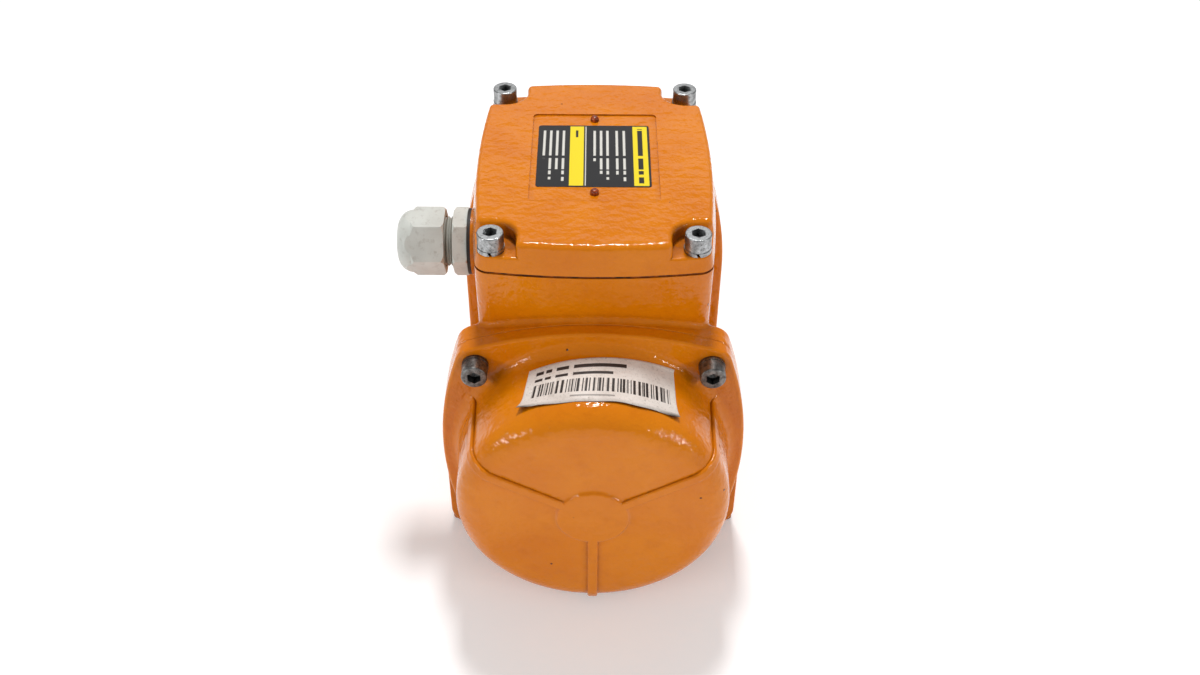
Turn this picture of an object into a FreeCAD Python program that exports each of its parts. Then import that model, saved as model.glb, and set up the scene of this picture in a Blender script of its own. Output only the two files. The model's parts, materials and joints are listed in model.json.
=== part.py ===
# Foot-mounted vibration motor, built from its separate pieces. All sizes are in millimetres.
# X runs along the motor shaft, Y runs across the feet and Z runs up from the mounting face.
# The origin is the centre of the foot pattern. The front end is at +X, the cable gland is at -Y.
import FreeCAD, Part
import math
import os

V = FreeCAD.Vector
AX = V(1, 0, 0)
AY = V(0, 1, 0)
AZ = V(0, 0, 1)

# ---- overall -------------------------------------------------------------------------------
AXIS_H = 56.0              # shaft axis above the mounting face
PART_X = 61.0              # joint face between the housing and each end cover
PRESS_GAP = 0.05           # radial gap of a screw in its tapped hole and of a located spigot
SLIDE_GAP = 0.03           # radial gap of a turning or sliding fit
HOLE_GAP = 0.3             # radial gap of a clearance hole
EDGE = 0.4                 # small edge break on turned and moulded pieces
JOINT_EDGE = 0.35          # chamfer on both pieces along a joint line
FAR = 200.0                # longer than any piece, for cuts that run right off it
PAST = 1.0                 # how far a cut runs past a face

# ---- end flange outline, shared by the housing and the covers --------------------------------
FLANGE_BELOW = 5.3         # the round flange would reach this far below the mounting face
FLANGE_R = AXIS_H + FLANGE_BELOW    # reach of the bowed sides, level with the axis
LUG_REACH = 3.3            # cover screws lie on a circle this much larger than FLANGE_R
LUG_OFF = (FLANGE_R + LUG_REACH) * math.sqrt(0.5)
LUG_R = 8.0
FLANGE_EDGE_R = 1.2

# ---- housing ---------------------------------------------------------------------------------
END_PLATE_T = 9.0
END_CORNER_R = 12.0        # lower corners of the end plates
BARREL_IN = 11.3           # barrel inside the reach of the flange
BARREL_R = FLANGE_R - BARREL_IN
BARREL_WALL = 9.0
STATOR_BORE_R = BARREL_R - BARREL_WALL
SHIELD_SEAT_X = 51.0       # shoulder that locates the bearing shield
SHIELD_IN = 1.0            # rim of the bearing shield inside the outside of the barrel
SHIELD_R = BARREL_R - SHIELD_IN
FOOT_T = 12.0
FOOT_EDGE_R = 2.0
FOOT_W = 27.3
FOOT_IN_Y = FLANGE_R - FOOT_W    # inner edge of the foot rails
SLOT_W = 9.0
SLOT_L = 15.0
SLOT_X = 34.0              # half of the 68 mm slot spacing along the shaft
SLOT_IN = 8.3              # slots inside the outer side of the feet
SLOT_Y = FLANGE_R - SLOT_IN    # half of the 106 mm slot spacing across the feet
WEB_T = 8.0                # web between barrel and foot
WEB_TOP_DROP = 8.0         # web top below the shaft axis
WEB_SIDE_IN = 4.0          # web side inside the foot's outer edge
FOOT_ARCH_H = 3.0          # relief under the end plates between the rails

# ---- terminal box ----------------------------------------------------------------------------
BOX_STEP_X = 4.0           # corners of the box inside the joint faces of the end covers
BOX_STEP_Y = 5.6           # corners of the box inside the reach of the barrel
BOX_HX = PART_X - BOX_STEP_X    # half sizes at the corners
BOX_HY = BARREL_R - BOX_STEP_Y
BOX_BOW_X = 3.6            # how far the bowed walls stand out at their middle
BOX_BOW_Y = 4.0
BOX_CORNER_R = 6.0
INNER_CORNER_R = 2.0       # least corner radius inside the box and the lid
BOX_LEAN = 5.5             # degrees that the end walls lean in towards the foot of the box
BOX_FOOT_R = 2.0           # fillet between the end walls and the end plates
BOX_WALL = 4.2
FLOOR_OVER = 2.5           # box floor above the top of the barrel
BOX_FLOOR_Z = AXIS_H + BARREL_R + FLOOR_OVER
BOX_DEPTH = 30.5
BOX_RIM_Z = BOX_FLOOR_Z + BOX_DEPTH
BOX_BOSS_R = 7.2
LID_SCREW_IN_X = 5.2       # lid screws inside the corners of the box
LID_SCREW_IN_Y = 5.9
LID_SCREW_X = BOX_HX - LID_SCREW_IN_X
LID_SCREW_Y = BOX_HY - LID_SCREW_IN_Y
GASKET_T = 1.0
GASKET_INSET = 0.7
LID_SEAT_T = 6.4           # thickness of the lid corners, under the screws
LID_CROWN_H = 6.1          # crown above the corners
LID_SEAT_Z = BOX_RIM_Z + GASKET_T + LID_SEAT_T
LID_TOP_Z = LID_SEAT_Z + LID_CROWN_H
LID_ROOF_T = 3.8
LID_WALL = 4.7
LID_FOOT_IN = 0.1          # lid inside the box outline at its lower edge
LID_TOP_IN = 1.9           # and at its top, so that the sides have draft
LID_TOP_CORNER_R = 4.2
NOTCH_R = 9.6
NOTCH_WALL = 2.66          # lid wall beside a corner step
NOTCH_EDGE_R = 2.0         # upright edges of the corner steps
LID_TOP_EDGE_R = 2.2
LID_LOW_EDGE_R = 1.0
PLATE_X = -1.8             # centre of the recessed plate field on the lid
PLATE_HX = 31.5
PLATE_HY = 25.5
PLATE_DEPTH = 0.6
PLATE_CORNER_R = 2.0
RIVET_X = (-29.3, 23.7)
RIVET_R = 1.7
RIVET_H = 2.0
RIVET_DOME_R = 1.2
RIVET_SHANK_R = 0.9
RIVET_SHANK_L = 3.0

# ---- end cover -------------------------------------------------------------------------------
COVER_FLANGE_T = 6.0
COVER_FLAT_Z = 1.5         # the cover flange is cut flat just above the mounting face
DOME_X = 104.2             # flat end of the dome
DOME_OVER = 4.2            # root of the dome outside the barrel
DOME_DRAFT = 0.6           # how much the dome narrows from its root to its shoulder
DOME_ROOT_R = BARREL_R + DOME_OVER
DOME_R = DOME_ROOT_R - DOME_DRAFT
DOME_ROOT_FILLET = 4.5
DOME_EDGE_R = 9.4
HUB_R = 14.2
HUB_RISE = 1.2
HUB_SLOPE = 2.2            # radial width of the hub's rounded step
RIB_W = 4.2
RIB_RISE = 1.2
RIB_EDGE_R = 0.9
RIB_ANGLES = (-60.0, 60.0, 180.0)   # turned about the shaft, from straight up
COVER_WALL = 4.2
COVER_FACE_T = 3.8
COVER_CAVITY_EDGE_R = 6.0
SEAL_LAND = 1.7            # seal ring outside the bearing shield's rim
SEAL_IN_R = SHIELD_R + SEAL_LAND
SEAL_W = 2.0
SEAL_OUT_R = SEAL_IN_R + SEAL_W
SEAL_T = 1.5
SEAL_SIDE_GAP = 0.1

# ---- M6 socket-head screws of the covers and the lid ------------------------------------------
M6_R = 3.0
M6_HEAD_R = 5.0
M6_HEAD_H = 6.0
M6_KEY_AF = 5.0
M6_KEY_D = 3.4
COVER_SCREW_L = 16.0
HEAD_ROOM = 0.8            # radial room around a screw head beside a wall
LID_SCREW_L = 25.0
TAP_EXTRA = 1.5            # tapped hole depth beyond the screw tip
SPRING_W_T = 1.6
SPRING_W_OUT_R = 5.2
SPRING_W_IN_R = 3.1
SPRING_W_SPLIT = 1.0

# ---- stator and rotor ------------------------------------------------------------------------
STACK_HALF = 25.0
STATOR_IN_R = 22.5
WIND_SLOTS = 12
WIND_SLOT_W = 5.0
WIND_SLOT_IN_R = 25.0
STATOR_BACK = 5.0          # iron behind the winding slots
WIND_SLOT_OUT_R = STATOR_BORE_R - STATOR_BACK
WIND_HALF = 39.0
WIND_OVER = 1.0            # how far the end turns stand over the slots, inwards and outwards
WIND_EDGE_R = 3.0
ROTOR_R = 22.2
ROTOR_BORE_R = 10.0
CAGE_BARS = 12
CAGE_BAR_W = 3.0
CAGE_BAR_IN_R = 17.5
CAGE_BAR_OUT_R = 20.8
CAGE_RING_IN_R = 12.5
CAGE_RING_T = 6.0
CAGE_RING_STEP = 1.0       # end rings inside the rotor core's outside
SHAFT_MID_HALF = 44.0
BEARING_SEAT_R = 7.5
BEARING_W = 13.0
WEIGHT_SEAT_R = 7.0
WEIGHT_SEAT_END = 87.0
SHAFT_END = 96.5
SHAFT_THREAD_R = 6.0
SHAFT_EDGE = 1.0

# ---- bearing 15 x 42 x 13 ---------------------------------------------------------------------
BEARING_OUT_R = 21.0
OUTER_LAND_R = 17.2
INNER_LAND_R = 11.4
BALL_PITCH_R = 14.25
BALL_R = 3.95
BALLS = 7
POCKET_OVER = 3.0          # ball pockets cut past both sides of the cage
CAGE_IN_R = 13.2
CAGE_OUT_R = 15.3
CAGE_HALF_W = 5.2

# ---- bearing shield ---------------------------------------------------------------------------
SHIELD_T = 8.0
SHIELD_HUB_R = 26.0
SHIELD_LIP_R = 13.0
SHIELD_BACK_T = 1.0        # shield behind the bearing
SHIELD_SLOPE = 1.2         # front face dished between hub and rim
SHIELD_BACK_SLOPE = 2.0
SHIELD_RIM_W = 9.5
SHIELD_RIM_R = SHIELD_R - SHIELD_RIM_W
SHIELD_SCREW_IN = 4.4      # screw circle inside the shield's rim
M5_R = 2.5
M5_HEAD_R = 4.25
M5_HEAD_H = 5.0
M5_KEY_AF = 4.0
M5_KEY_D = 2.6
SHIELD_SCREW_L = 16.0
CLAMP_SCREW_L = 16.0

# ---- eccentric weights -------------------------------------------------------------------------
SPACER_OUT_R = 10.5
WEIGHT_X = 66.0
WEIGHT_T = 10.0
WEIGHT_R = 39.0
WEIGHT_HUB_R = 14.5
WEIGHT_FACE_GAP = 0.1
KEY_W = 4.0
KEY_H = 4.0
KEY_L = 8.0
KEY_IN = 1.0               # key behind the weight's inner face
EAR_HALF_Y = 10.0
EAR_TOP = 17.5
EAR_SPLIT = 2.0
EAR_CORNER_R = 2.5
EAR_SINK = 2.0             # clamp screw seat inside the ear's side
CLAMP_OFF = 12.6           # clamp screw above the shaft axis
WASHER_OUT_R = 11.0
WASHER_T = 1.6
NUT_AF = 18.0
NUT_T = 6.4

# ---- terminal block ----------------------------------------------------------------------------
BLOCK_HX = 27.0
BLOCK_HY = 14.0
POST_H = 3.5               # posts that carry the block above the box floor
BLOCK_Z = BOX_FLOOR_Z + POST_H
BLOCK_T = 7.0
BLOCK_CORNER_R = 3.0
POST_R = 4.5
PAD_R = 3.2                # plain pads under the block's corners
PAD_Y = 10.0
BLOCK_SCREW_X = 22.5
STUD_X = (-13.0, 0.0, 13.0)
STUD_Y = 7.5
STUD_R = 2.0
STUD_OUT = 14.0            # stud length above the block
STUD_FLOOR_T = 1.0         # block left under a stud
LINK_T = 0.8
LINK_W = 7.0
LINK_END_FLAT = 0.1        # half of the flat left at a link's rounded end
STUD_NUT_AF = 7.0
STUD_NUT_T = 3.2
BARRIER_H = 4.0
BARRIER_T = 1.6
BARRIER_IN = 1.0           # barrier ends inside the block's sides
M4_R = 2.0
M4_HEAD_R = 4.0
M4_HEAD_H = 2.6
M4_HEAD_EDGE_R = 1.2
M4_CROSS_L = 4.8
M4_CROSS_W = 0.9
M4_CROSS_D = 1.4
M4_GRIP = 6.0              # screw length in a post
EARTH_X = 41.0
EARTH_Y = 18.0
EARTH_WASHER_HALF = 5.0
EARTH_WASHER_T = 0.8
LEAD_X = -38.5
LEAD_HOLE_R = 6.0
GROMMET_FLANGE_R = 8.0
GROMMET_FLANGE_T = 1.5
GROMMET_IN_R = 4.2
GROMMET_L = 7.0

# ---- cable gland, thread M20 --------------------------------------------------------------------
GLAND_X = 19.5
GLAND_RISE = 17.0
GLAND_Z = BOX_FLOOR_Z + GLAND_RISE
GLAND_SEAT_OUT = 0.3       # machined seat proud of the bowed box wall
GLAND_SEAT_Y = BOX_HY + BOX_BOW_Y + GLAND_SEAT_OUT
GLAND_SEAT_R = 13.3
GLAND_THREAD_R = 10.0
GLAND_PITCH = 1.5
GLAND_GASKET_R = 13.2
GLAND_GASKET_T = 1.4
GLAND_AF = 24.0
GLAND_COLLAR_T = 5.8
GLAND_COLLAR_TURN = 12.0   # the collar's flats don't line up with the nut's
COLLAR_EDGE = 0.5          # turned edges of the collar, taken off its hexagon's corners
COLLAR_FRONT_EDGE = 1.0
COLLAR_CORNER_CUT = 0.8
GLAND_GAP = 3.4            # thread left showing between collar and nut
GLAND_NUT_L = 18.8
GLAND_DOME_L = 5.8         # rounded end of the nut
GLAND_DOME_R = 12.5        # radius where the rounding starts
GLAND_NUT_END_R = 7.4
GLAND_TAIL_L = 11.0
GLAND_BORE_R = 7.0
GLAND_TAIL_EDGE = 0.6
GLAND_THREAD_D = 0.9       # thread depth outside the collar
GLAND_THREAD_GAP = 0.12    # radial gap between the nut and the thread
GLAND_SPIGOT_L = 11.5      # thread outside the collar
GLAND_SOCKET_R = 8.6       # counterbore that the seal slides in
GLAND_SOCKET_L = 7.4
SEAL_BUSH_IN_R = 6.2
SEAL_BUSH_START = 3.6      # how far the seal's inner end is inside the spigot
CLAW_OUT_R = 9.6
CLAW_T = 3.6
CLAW_START = 3.5           # clearance between spigot end and claw ring, taken up on tightening
CLAW_SLOTS = 8
CLAW_ROOT = 1.2            # unslotted part of the claw ring
CLAW_SLOT_W = 1.0
NUT_WALL_R = 12.9
NUT_CORNER_OUT = 0.9       # rounded corners of the nut's hexagon outside its wall
NUT_EDGE = 1.0
NUT_BULGE_L = 0.34         # middle of the nut's dome, as shares of its length and height
NUT_BULGE_R = 0.7


# ---- helpers ------------------------------------------------------------------------------------
def cyl_x(r, x0, x1, y=0.0, z=AXIS_H):
    return Part.makeCylinder(r, x1 - x0, V(x0, y, z), AX)


def cyl_y(r, y0, y1, x, z):
    return Part.makeCylinder(r, y1 - y0, V(x, y0, z), AY)


def cyl_z(r, z0, z1, x, y):
    return Part.makeCylinder(r, z1 - z0, V(x, y, z0), AZ)


def block(x0, x1, y0, y1, z0, z1):
    return Part.makeBox(x1 - x0, y1 - y0, z1 - z0, V(x0, y0, z0))


def below(z):
    """Everything under a level, as a cutting block."""
    return block(-FAR, FAR, -FAR, FAR, z - FAR, z)


def ring_x(r_in, r_out, x0, x1):
    return cyl_x(r_out, x0, x1).cut(cyl_x(r_in, x0 - PAST, x1 + PAST))


def join(shapes):
    shapes = list(shapes)
    if len(shapes) == 1:
        return shapes[0]
    return shapes[0].multiFuse(shapes[1:]).removeSplitter()


def about_x(shape, angle):
    out = shape.copy()
    out.rotate(V(0, 0, AXIS_H), AX, angle)
    return out


def rear(shape):
    """The same piece at the rear end, turned half a turn about the vertical."""
    out = shape.copy()
    out.rotate(V(0, 0, 0), AZ, 180.0)
    return out


def profile(steps, spot):
    """Closed face through the steps. A step is a corner, or the middle and the end of an arc."""
    edges, last = [], spot(*steps[0])
    for step in steps[1:] + steps[:1]:
        curved = isinstance(step[0], tuple)
        end = spot(*(step[1] if curved else step))
        edges.append(Part.Arc(last, spot(*step[0]), end).toShape() if curved else Part.makeLine(last, end))
        last = end
    return Part.Face(Part.Wire(edges))


def lathe_x(steps):
    """Solid turned about the shaft axis from (x, r) steps."""
    face = profile(steps, lambda x, r: V(x, 0, AXIS_H + r))
    return face.revolve(V(0, 0, AXIS_H), AX, 360)


def lathe_gland(steps):
    """Solid turned about the gland axis from (distance out from the box wall seat, r) steps."""
    face = profile(steps, lambda d, r: V(GLAND_X + r, -GLAND_SEAT_Y - d, GLAND_Z))
    return face.revolve(V(GLAND_X, 0, GLAND_Z), AY, 360)


def quarter(centre, radius, start, end):
    """Middle and end of a quarter arc between two directions, as a step for profile()."""
    k = radius * math.sqrt(0.5)
    middle = (centre[0] + k * (start[0] + end[0]), centre[1] + k * (start[1] + end[1]))
    return middle, (centre[0] + radius * end[0], centre[1] + radius * end[1])


def hex_prism(af, height):
    r = af / 2.0 / math.cos(math.pi / 6)
    pts = [V(r * math.cos(math.radians(60 * i)), r * math.sin(math.radians(60 * i)), 0) for i in range(7)]
    return Part.Face(Part.makePolygon(pts)).extrude(V(0, 0, height))


def soften(shape, radius, chosen):
    edges = [e for e in shape.Edges if chosen(e)]
    return shape.makeFillet(radius, edges) if edges else shape


def bevel(shape, size, chosen):
    edges = [e for e in shape.Edges if chosen(e)]
    return shape.makeChamfer(size, edges) if edges else shape


def runs_along(edge, axis):
    a, b = edge.Vertexes[0].Point, edge.Vertexes[-1].Point
    d = b.sub(a)
    return d.Length > 1e-6 and abs(abs(d.normalize().dot(axis)) - 1.0) < 1e-6


def at_level(edge, axis, level):
    pts = [v.Point.dot(axis) for v in edge.Vertexes] + [edge.CenterOfMass.dot(axis)]
    return all(abs(p - level) < 1e-4 for p in pts)


def climbs(edge, z0, z1):
    """True for an edge that runs from one level up to another."""
    box = edge.BoundBox
    return abs(box.ZMin - z0) < 1e-3 and abs(box.ZMax - z1) < 1e-3


def place(shape, position, direction):
    """Move a piece made at the origin along +Z to a position and direction."""
    out = shape.copy()
    out.Placement = FreeCAD.Placement(position, FreeCAD.Rotation(AZ, direction))
    return out


# ---- fasteners, made along +Z with the seat at z = 0 ---------------------------------------------
def socket_screw(head_r, head_h, key_af, key_d, shank_r, length):
    head = Part.makeCylinder(head_r, head_h)
    head = soften(head, head_r / 10.0, lambda e: at_level(e, AZ, head_h) and len(e.Vertexes) == 1)
    key = hex_prism(key_af, key_d + PAST)
    key.translate(V(0, 0, head_h - key_d))
    drill = Part.makeCone(key_af / 25.0, key_af / 2.0, key_af / 4.0, V(0, 0, head_h - key_d - key_af / 4.0))
    tip = shank_r / 4.0
    shank = Part.makeCylinder(shank_r, length - tip, V(0, 0, -(length - tip)))
    point = Part.makeCone(shank_r - tip, shank_r, tip, V(0, 0, -length))
    return head.fuse([shank, point]).removeSplitter().cut(key).cut(drill)


def spring_washer():
    ring = Part.makeCylinder(SPRING_W_OUT_R, SPRING_W_T).cut(Part.makeCylinder(SPRING_W_IN_R, SPRING_W_T))
    split = Part.makeBox(2 * SPRING_W_OUT_R, SPRING_W_SPLIT, 3 * SPRING_W_T,
                         V(0, -SPRING_W_SPLIT / 2, -SPRING_W_T))
    split.rotate(V(0, 0, SPRING_W_T / 2), AX, 25)
    return ring.cut(split)


def hex_nut(af, thickness, bore_r):
    cap_r = af / 2.0
    cone = Part.makeCone(cap_r + thickness, cap_r, thickness)
    return hex_prism(af, thickness).common(cone).cut(Part.makeCylinder(bore_r, thickness))


def pan_screw(length):
    head = Part.makeCylinder(M4_HEAD_R, M4_HEAD_H)
    head = soften(head, M4_HEAD_EDGE_R, lambda e: at_level(e, AZ, M4_HEAD_H) and len(e.Vertexes) == 1)
    corner = V(-M4_CROSS_L / 2, -M4_CROSS_W / 2, M4_HEAD_H - M4_CROSS_D)
    for turn in (0, 90):
        cross = Part.makeBox(M4_CROSS_L, M4_CROSS_W, M4_CROSS_D + PAST, corner)
        cross.rotate(V(0, 0, 0), AZ, turn)
        head = head.cut(cross)
    return head.fuse(Part.makeCylinder(M4_R, length, V(0, 0, -length))).removeSplitter()


# ---- outlines ------------------------------------------------------------------------------------
def flange_prism(x0, x1):
    """Flange with four bowed sides that run smoothly into its four screw lugs."""
    step_in = LUG_OFF - FLANGE_R
    side_r = (LUG_R ** 2 - step_in ** 2 - LUG_OFF ** 2) / (2 * (step_in + LUG_R))
    centre = FLANGE_R - side_r
    spread = math.degrees(math.atan2(LUG_OFF, LUG_OFF - centre))

    axis = V(0, 0, AXIS_H)

    def on(quarter_turns, cy, cz, r, deg):
        a = math.radians(deg)
        point = V(x0, cy + r * math.cos(a), AXIS_H + cz + r * math.sin(a)).sub(axis)
        return FreeCAD.Rotation(AX, 90.0 * quarter_turns).multVec(point).add(axis)

    edges = []
    for k in range(4):
        side = [on(k, centre, 0, side_r, a) for a in (-spread, 0, spread)]
        lug = [on(k, LUG_OFF, LUG_OFF, LUG_R, a) for a in (spread, 45, 90 - spread)]
        edges += [Part.Arc(*side).toShape(), Part.Arc(*lug).toShape()]
    return Part.Face(Part.Wire(edges)).extrude(V(x1 - x0, 0, 0))


def bowed_prism(hx, hy, corner_r, z0, z1):
    """Rectangle with four outward-bowed sides and rounded corners, as an upright prism."""
    c = [V(hx, -hy, z0), V(hx, hy, z0), V(-hx, hy, z0), V(-hx, -hy, z0)]
    out_x, out_y = hx + BOX_BOW_X, hy + BOX_BOW_Y
    mids = [V(out_x, 0, z0), V(0, out_y, z0), V(-out_x, 0, z0), V(0, -out_y, z0)]
    edges = [Part.Arc(c[i], mids[i], c[(i + 1) % 4]).toShape() for i in range(4)]
    prism = Part.Face(Part.Wire(edges)).extrude(V(0, 0, z1 - z0))
    return soften(prism, corner_r, lambda e: runs_along(e, AZ))


def box_corner(inset):
    return max(BOX_CORNER_R - inset, INNER_CORNER_R)


def box_prism(inset, z0, z1):
    """Upright prism on the outline of the box rim, inset all round."""
    return bowed_prism(BOX_HX - inset, BOX_HY - inset, box_corner(inset), z0, z1)


def outline_at(prism, z):
    return next(f for f in prism.Faces if abs(f.BoundBox.ZMax - z) < 1e-6).OuterWire


def leaning_box(inset, z0, z1):
    """The box outline with its end walls leaning in below the rim."""
    wires = []
    for z in (z0, z1):
        lean = (BOX_RIM_Z - z) * math.tan(math.radians(BOX_LEAN))
        prism = bowed_prism(BOX_HX - lean - inset, BOX_HY - inset, box_corner(inset), z, z + PAST)
        wires.append(outline_at(prism, z))
    return Part.makeLoft(wires, True, True)


def lid_screw_spots():
    return [(sx * LID_SCREW_X, sy * LID_SCREW_Y) for sx in (1, -1) for sy in (1, -1)]


def cover_screw_spots():
    return [(sy * LUG_OFF, AXIS_H + sz * LUG_OFF) for sy in (1, -1) for sz in (1, -1)]


# ---- housing -------------------------------------------------------------------------------------
def end_plate():
    x0, x1 = PART_X - END_PLATE_T, PART_X
    skirt = block(x0, x1, -FLANGE_R, FLANGE_R, 0, AXIS_H)
    skirt = soften(skirt, END_CORNER_R, lambda e: runs_along(e, AX) and at_level(e, AZ, 0.0))
    plate = flange_prism(x0, x1).fuse(skirt).removeSplitter().cut(below(0))
    plate = plate.cut(block(x0 - PAST, x1 + PAST, -FOOT_IN_Y, FOOT_IN_Y, -PAST, FOOT_ARCH_H))
    arch_top = FOOT_ARCH_H + PAST
    plate = bevel(plate, JOINT_EDGE, lambda e: at_level(e, AX, x1) and e.BoundBox.ZMax > arch_top)
    return soften(plate, FLANGE_EDGE_R, lambda e: at_level(e, AX, x0) and e.BoundBox.ZMax > arch_top)


def foot_rail():
    half_x = PART_X - END_PLATE_T / 2
    rail = block(-half_x, half_x, FOOT_IN_Y, FLANGE_R, 0, FOOT_T)
    rail = soften(rail, FOOT_EDGE_R, lambda e: runs_along(e, AX) and at_level(e, AY, FLANGE_R))
    low_y, high_y = FLANGE_R - WEB_SIDE_IN, BARREL_R - WEB_SIDE_IN
    low, top = FOOT_T / 2, AXIS_H - WEB_TOP_DROP
    side = [(FOOT_IN_Y, low), (low_y, low), (low_y, FOOT_T + FOOT_EDGE_R), (high_y, top), (FOOT_IN_Y, top)]
    corners = [V(-WEB_T / 2, y, z) for y, z in side + side[:1]]
    web = Part.Face(Part.makePolygon(corners)).extrude(V(WEB_T, 0, 0))
    return rail.fuse(web).removeSplitter()


def slot_cut(sx, sy):
    r = SLOT_W / 2
    half = SLOT_L / 2 - r
    x, y = sx * SLOT_X, sy * SLOT_Y
    body = block(x - half, x + half, y - r, y + r, -PAST, FOOT_T + PAST)
    return body.fuse([cyl_z(r, -PAST, FOOT_T + PAST, x + s * half, y) for s in (1, -1)])


def box_shell():
    """The outside of the housing: barrel, box and end plates, with a fillet at the foot of the box."""
    barrel_end = PART_X - END_PLATE_T / 2
    seat = cyl_y(GLAND_SEAT_R, -GLAND_SEAT_Y, -BOX_HY, GLAND_X, GLAND_Z)
    seat = seat.common(below(BOX_RIM_Z))
    shell = join([cyl_x(BARREL_R, -barrel_end, barrel_end), leaning_box(0.0, AXIS_H, BOX_RIM_Z), seat,
                  end_plate(), rear(end_plate())])
    return soften(shell, BOX_FOOT_R, is_box_foot)


def is_box_foot(edge):
    """True for the edges where the end walls of the box stand on the end plates."""
    c = edge.CenterOfMass
    on_plate = PART_X - END_PLATE_T < abs(c.x) < PART_X - PAST
    return on_plate and abs(c.y) < BOX_HY and AXIS_H + LUG_OFF < c.z < BOX_RIM_Z - BOX_DEPTH / 2


def box_cavity():
    inner = leaning_box(BOX_WALL, BOX_FLOOR_Z, BOX_RIM_Z + PAST)
    bosses = [cyl_z(BOX_BOSS_R, BOX_FLOOR_Z - PAST, BOX_RIM_Z, x, y) for x, y in lid_screw_spots()]
    return inner.cut(join(bosses))


def post_spots():
    return [(BLOCK_SCREW_X, 0), (-BLOCK_SCREW_X, 0), (EARTH_X, EARTH_Y)]


def floor_posts():
    posts = [cyl_z(POST_R, BOX_FLOOR_Z - FLOOR_OVER, BLOCK_Z, x, y) for x, y in post_spots()]
    pads = [(sx * BLOCK_SCREW_X, sy * PAD_Y) for sx in (1, -1) for sy in (1, -1)]
    return posts + [cyl_z(PAD_R, BOX_FLOOR_Z - FLOOR_OVER, BLOCK_Z, x, y) for x, y in pads]


def end_bores():
    """Front cuts for the bearing shield, its screws and the cover screws."""
    cuts = [cyl_x(SHIELD_R + PRESS_GAP, SHIELD_SEAT_X, PART_X + PAST)]
    hole_end = PART_X + COVER_FLANGE_T + SPRING_W_T - COVER_SCREW_L - TAP_EXTRA
    cuts += [cyl_x(M6_R + PRESS_GAP, hole_end, PART_X + PAST, y, z) for y, z in cover_screw_spots()]
    hole_end = SHIELD_SEAT_X + SHIELD_T - SHIELD_SCREW_L - TAP_EXTRA
    cuts += [cyl_x(M5_R + PRESS_GAP, hole_end, PART_X, y, z) for y, z in shield_screw_spots()]
    return cuts


def box_holes():
    depth = LID_SEAT_Z + SPRING_W_T - LID_SCREW_L - TAP_EXTRA
    cuts = [cyl_z(M6_R + PRESS_GAP, depth, BOX_RIM_Z + PAST, x, y) for x, y in lid_screw_spots()]
    post_end = BLOCK_Z - M4_GRIP - TAP_EXTRA
    cuts += [cyl_z(M4_R + PRESS_GAP, post_end, BLOCK_Z + PAST, x, y) for x, y in post_spots()]
    cuts.append(cyl_z(LEAD_HOLE_R, AXIS_H, BOX_FLOOR_Z + PAST, LEAD_X, 0))
    inside = BOX_WALL - BOX_HY + PAST
    cuts.append(cyl_y(GLAND_THREAD_R + PRESS_GAP, -GLAND_SEAT_Y - PAST, inside, GLAND_X, GLAND_Z))
    return cuts


def housing():
    solid = join([box_shell(), foot_rail(), rear(foot_rail())])
    solid = solid.cut(box_cavity()).fuse(floor_posts()).removeSplitter()
    cuts = [cyl_x(STATOR_BORE_R, -PART_X, PART_X)] + box_holes()
    for cut in end_bores():
        cuts += [cut, rear(cut)]
    cuts += [slot_cut(sx, sy) for sx in (1, -1) for sy in (1, -1)]
    for cut in cuts:
        solid = solid.cut(cut)
    return solid


# ---- lid -----------------------------------------------------------------------------------------
def notch(x, y):
    """Step around a lid screw, open to both outer sides of its corner."""
    z0, z1 = LID_SEAT_Z, LID_TOP_Z + PAST
    sx, sy = math.copysign(1, x), math.copysign(1, y)
    side_a = block(*sorted((x, x + sx * FAR)), *sorted((y - sy * NOTCH_R, y + sy * FAR)), z0, z1)
    side_b = block(*sorted((x - sx * NOTCH_R, x + sx * FAR)), *sorted((y, y + sy * FAR)), z0, z1)
    return cyl_z(NOTCH_R, z0, z1, x, y).fuse([side_a, side_b]).removeSplitter()


def lid_block():
    """Solid form of the lid: drafted sides, a crown and a lower step at each corner."""
    z0 = BOX_RIM_Z + GASKET_T
    foot = box_prism(LID_FOOT_IN, z0, z0 + PAST)
    hx, hy = BOX_HX - LID_TOP_IN, BOX_HY - LID_TOP_IN
    top = bowed_prism(hx, hy, LID_TOP_CORNER_R, LID_TOP_Z, LID_TOP_Z + PAST)
    lid = Part.makeLoft([outline_at(foot, z0), outline_at(top, LID_TOP_Z)], True, True)
    for x, y in lid_screw_spots():
        lid = lid.cut(notch(x, y))
    lid = soften(lid, NOTCH_EDGE_R, lambda e: climbs(e, LID_SEAT_Z, LID_TOP_Z))
    lid = soften(lid, LID_TOP_EDGE_R, lambda e: at_level(e, AZ, LID_TOP_Z))
    lid = soften(lid, LID_LOW_EDGE_R, lambda e: at_level(e, AZ, LID_SEAT_Z) and is_seat_rim(e))
    return lid


def is_seat_rim(edge):
    """True for the outer edges of the four corner steps."""
    x, y = abs(edge.CenterOfMass.x), abs(edge.CenterOfMass.y)
    at_corner = x > LID_SCREW_X and y > LID_SCREW_Y
    on_end = x > BOX_HX - LID_TOP_IN and y > LID_SCREW_Y - NOTCH_R / 2
    on_side = y > BOX_HY - LID_TOP_IN and x > LID_SCREW_X - NOTCH_R / 2
    return at_corner or on_end or on_side


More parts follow.
